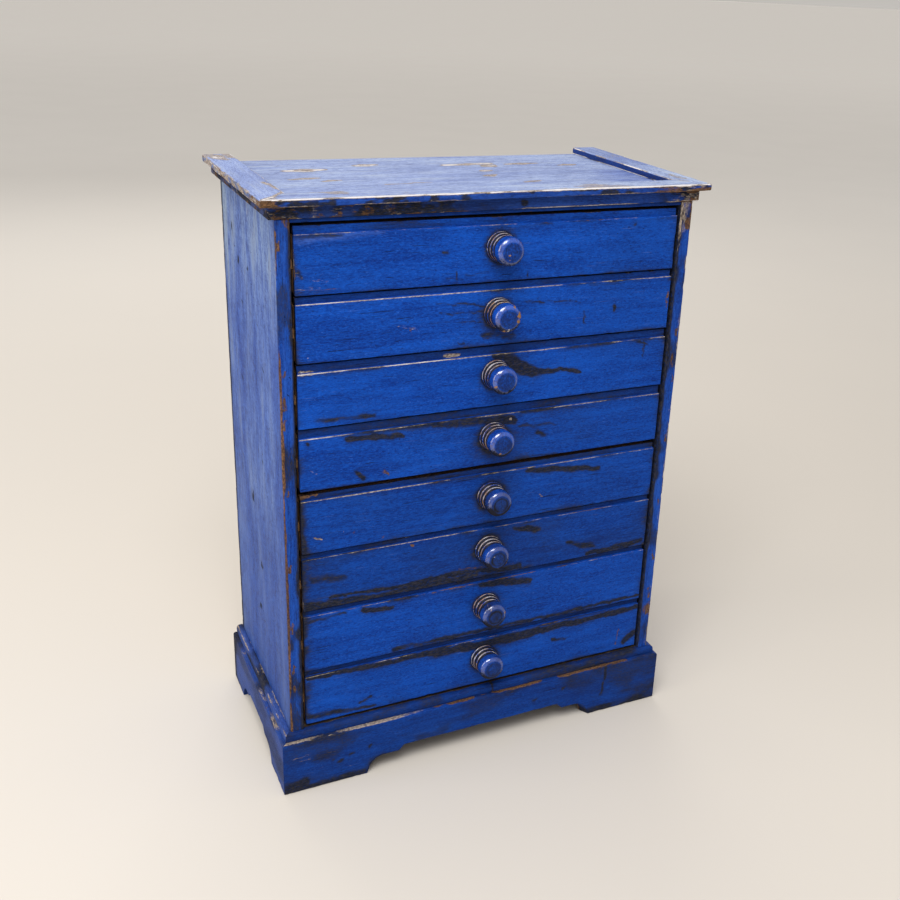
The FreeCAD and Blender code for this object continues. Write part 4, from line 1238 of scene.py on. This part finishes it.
def knob(number):
    name = "drawer_%d" % number
    lo, hi = box_mm(name + "_knob")
    face_y = box_mm(name + "_front")[0][1]
    centre_z = (lo[2] + hi[2]) / 2
    reach = face_y - lo[1]
    board, crest = turned(knob_section(reach), face_y, centre_z)
    seed = 300 + 11 * number
    rough = fbm(board.points, 7.0, seed)
    dent = smooth(fbm(board.points, 9.0, seed + 3), 0.58, 0.75)
    board.points = board.points - board.normals * (0.25 * rough + 0.6 * dent * crest)[:, None]
    board.chips = dent * crest
    x, y, z = board.points.T
    wear = Wear(board, seed, rub=0, bare=0, grime_and_shade=0)
    dirt, chips = KNOB_WEAR[number]
    out, height = face_y - y, z - centre_z
    radius = np.hypot(x, height)
    collar = out < COLLAR + 0.2
    front = out > reach - SHOULDER
    head = out > COLLAR + 1

    # collar: rubbed crests, most on the upper right, and dirt in the grooves
    wear.rub = crest * collar * (0.40 + 0.60 * wear.patches(8.0, seed + 4, 0.35, 0.6))
    wear.bare = crest * collar * 0.70 * wear.patches(10.0, seed + 5, 0.45, 0.62)
    handled_dirt = dirt * (0.30 + 0.9 * wear.noise(12.0, seed + 6))
    wear.grime_and_shade = np.where(collar, (1 - crest) ** 2 + 0.15, handled_dirt)
    wear.add("rub", (0.36 - 0.4 * dirt) * collar * crest * smooth(height - 0.4 * x, 4.0, 12.0))

    # head: handled face, its rim, the dirty underside and the heel behind
    on_face = smooth(radius, 11.2, 7.0) * front
    wear.chalk_and_sheen = np.where(collar, 0.3, on_face * (0.55 + 0.5 * dirt))
    wear.add("grime_and_shade", 0.30 * band(radius - 7.0, 0.9, 1) * on_face)
    wear.add_patches("rub", 0.30 * band(radius - 11.4, 0.9, 1) * front, 6.0, seed + 7, 0.46, 0.66)
    wear.add("grime_and_shade", 0.50 * smooth(height, 2.0, -8.0) * smooth(radius, 8.0, 10.5) * head)
    wear.add("grime_and_shade", 0.8 * band(out - COLLAR - 0.6, 1.4))
    wear.add_patches("rub", 0.30 * band(out - COLLAR - HEEL * 0.7, 1.2), 7.0, seed + 8, 0.46, 0.62)
    for degrees, share, size, kind, strength in chips:
        a = math.radians(degrees)
        row = (HEAD * share * math.cos(a), HEAD * share * math.sin(a), size * HEAD)
        wear.mark(kind, x, height, [row], strength, head)
    make_object(name + "_turned_knob", board, wear, knob_paint, name, name + "_knob", 1, sharp=60)


# Imported nodes that stay as they are: their wood, and a small bevel on all but the nails

# the bottom board takes the near black wood: painted shade where it shows under the lowest drawer
STAYING = {"back_panel": wood_z, "bottom_board": shade_dark_wood, "plinth_back": wood_x, "glue_blocks": wood_z,
           "runners_left": wood_y, "runners_right": wood_y, "back_nails": iron}
for number in DRAWERS:
    drawer_front(number)
    knob(number)
    for part, material in (("sides", wood_y), ("back", wood_x), ("bottom", wood_x)):
        STAYING["drawer_%d_%s" % (number, part)] = material
for name, material in STAYING.items():
    nodes[name].data.materials.clear()
    nodes[name].data.materials.append(material)
    if name != "back_nails":
        bevel = nodes[name].modifiers.new("worn_edges", "BEVEL")
        bevel.width = 0.0005
        bevel.segments = 2
        bevel.limit_method = "ANGLE"
        bevel.angle_limit = math.radians(40)


# Floor, light and camera

FLOOR_HALF, FLOOR_CELLS, FLOOR_Z = 60.0, 12, -0.0005


def floor():
    ticks = np.linspace(-FLOOR_HALF, FLOOR_HALF, FLOOR_CELLS + 1)
    points = [(x, y, FLOOR_Z) for y in ticks for x in ticks]
    row = FLOOR_CELLS + 1
    corners = [j * row + i for j in range(FLOOR_CELLS) for i in range(FLOOR_CELLS)]
    mesh = bpy.data.meshes.new("floor")
    mesh.from_pydata(points, [], [(k, k + 1, k + row + 1, k + row) for k in corners])
    mesh.materials.append(floor_material("pale_floor"))
    piece = bpy.data.objects.new("floor", mesh)
    bpy.context.scene.collection.objects.link(piece)


def soft_light(name, place, target_height, size, watts, colour):
    light = bpy.data.lights.new(name, "AREA")
    light.shape = "RECTANGLE"
    light.size, light.size_y = size
    light.energy = watts
    light.color = colour
    lamp = bpy.data.objects.new(name, light)
    lamp.location = place
    lamp.rotation_mode = "QUATERNION"
    lamp.rotation_quaternion = (Vector((0, 0, target_height)) - Vector(place)).to_track_quat("-Z", "Y")
    bpy.context.scene.collection.objects.link(lamp)


floor()
soft_light("sky_over_front", (-0.80, -1.30, 2.35), 0.35, (1.5, 1.2), 56.0, (1.0, 0.985, 0.96))
soft_light("window", (-2.3, -0.15, 1.15), 0.3, (1.8, 1.6), 28.0, (1.0, 0.97, 0.92))
soft_light("back_sky", (0.3, 2.3, 1.9), 0.5, (2.2, 1.2), 22.0, (1.0, 0.97, 0.93))
soft_light("front_fill", (0.5, -2.6, 1.3), 0.3, (2.4, 1.8), 3.0, (1.0, 0.98, 0.95))
world = bpy.data.worlds.new("studio")
world.use_nodes = True
sky = world.node_tree.nodes["Background"]
sky.inputs["Color"].default_value = (*SKY_TINT, 1.0)
sky.inputs["Strength"].default_value = 0.54
bpy.context.scene.world = world
bpy.context.scene.view_settings.view_transform = "Standard"

# The camera as it was solved from the photo: angles in radians, focal length and centre in pixels of a
# 900 pixel image, place in metres
YAW, PITCH, ROLL = 0.4788311, -0.3764789, 0.0558020
FOCAL, CENTRE_U, CENTRE_V, IMAGE = 1104.7886, 530.13998, 414.14368, 900.0
CAMERA_X, CAMERA_Y_FROM_CASE, CAMERA_Z = -0.4276623, -0.9007580, 0.7785399
SENSOR = 36.0
camera_data = bpy.data.cameras.new("photo_view")
camera = bpy.data.objects.new("photo_view", camera_data)
bpy.context.scene.collection.objects.link(camera)
forward = Vector((math.sin(YAW) * math.cos(PITCH), math.cos(YAW) * math.cos(PITCH), math.sin(PITCH)))
level_right = Vector((math.cos(YAW), -math.sin(YAW), 0.0))
level_up = level_right.cross(forward)
right = math.cos(ROLL) * level_right + math.sin(ROLL) * level_up
up = -math.sin(ROLL) * level_right + math.cos(ROLL) * level_up
turn = Matrix((right, up, -forward)).transposed()
place = Matrix.Translation((CAMERA_X, CAMERA_Y_FROM_CASE + case_front * MM, CAMERA_Z))
camera.matrix_world = place @ turn.to_4x4()
camera_data.sensor_width = SENSOR
camera_data.lens = FOCAL / IMAGE * SENSOR
camera_data.shift_x = (IMAGE / 2 - CENTRE_U) / IMAGE
camera_data.shift_y = (CENTRE_V - IMAGE / 2) / IMAGE
camera_data.clip_start, camera_data.clip_end = 0.01, 200.0
bpy.context.scene.camera = camera
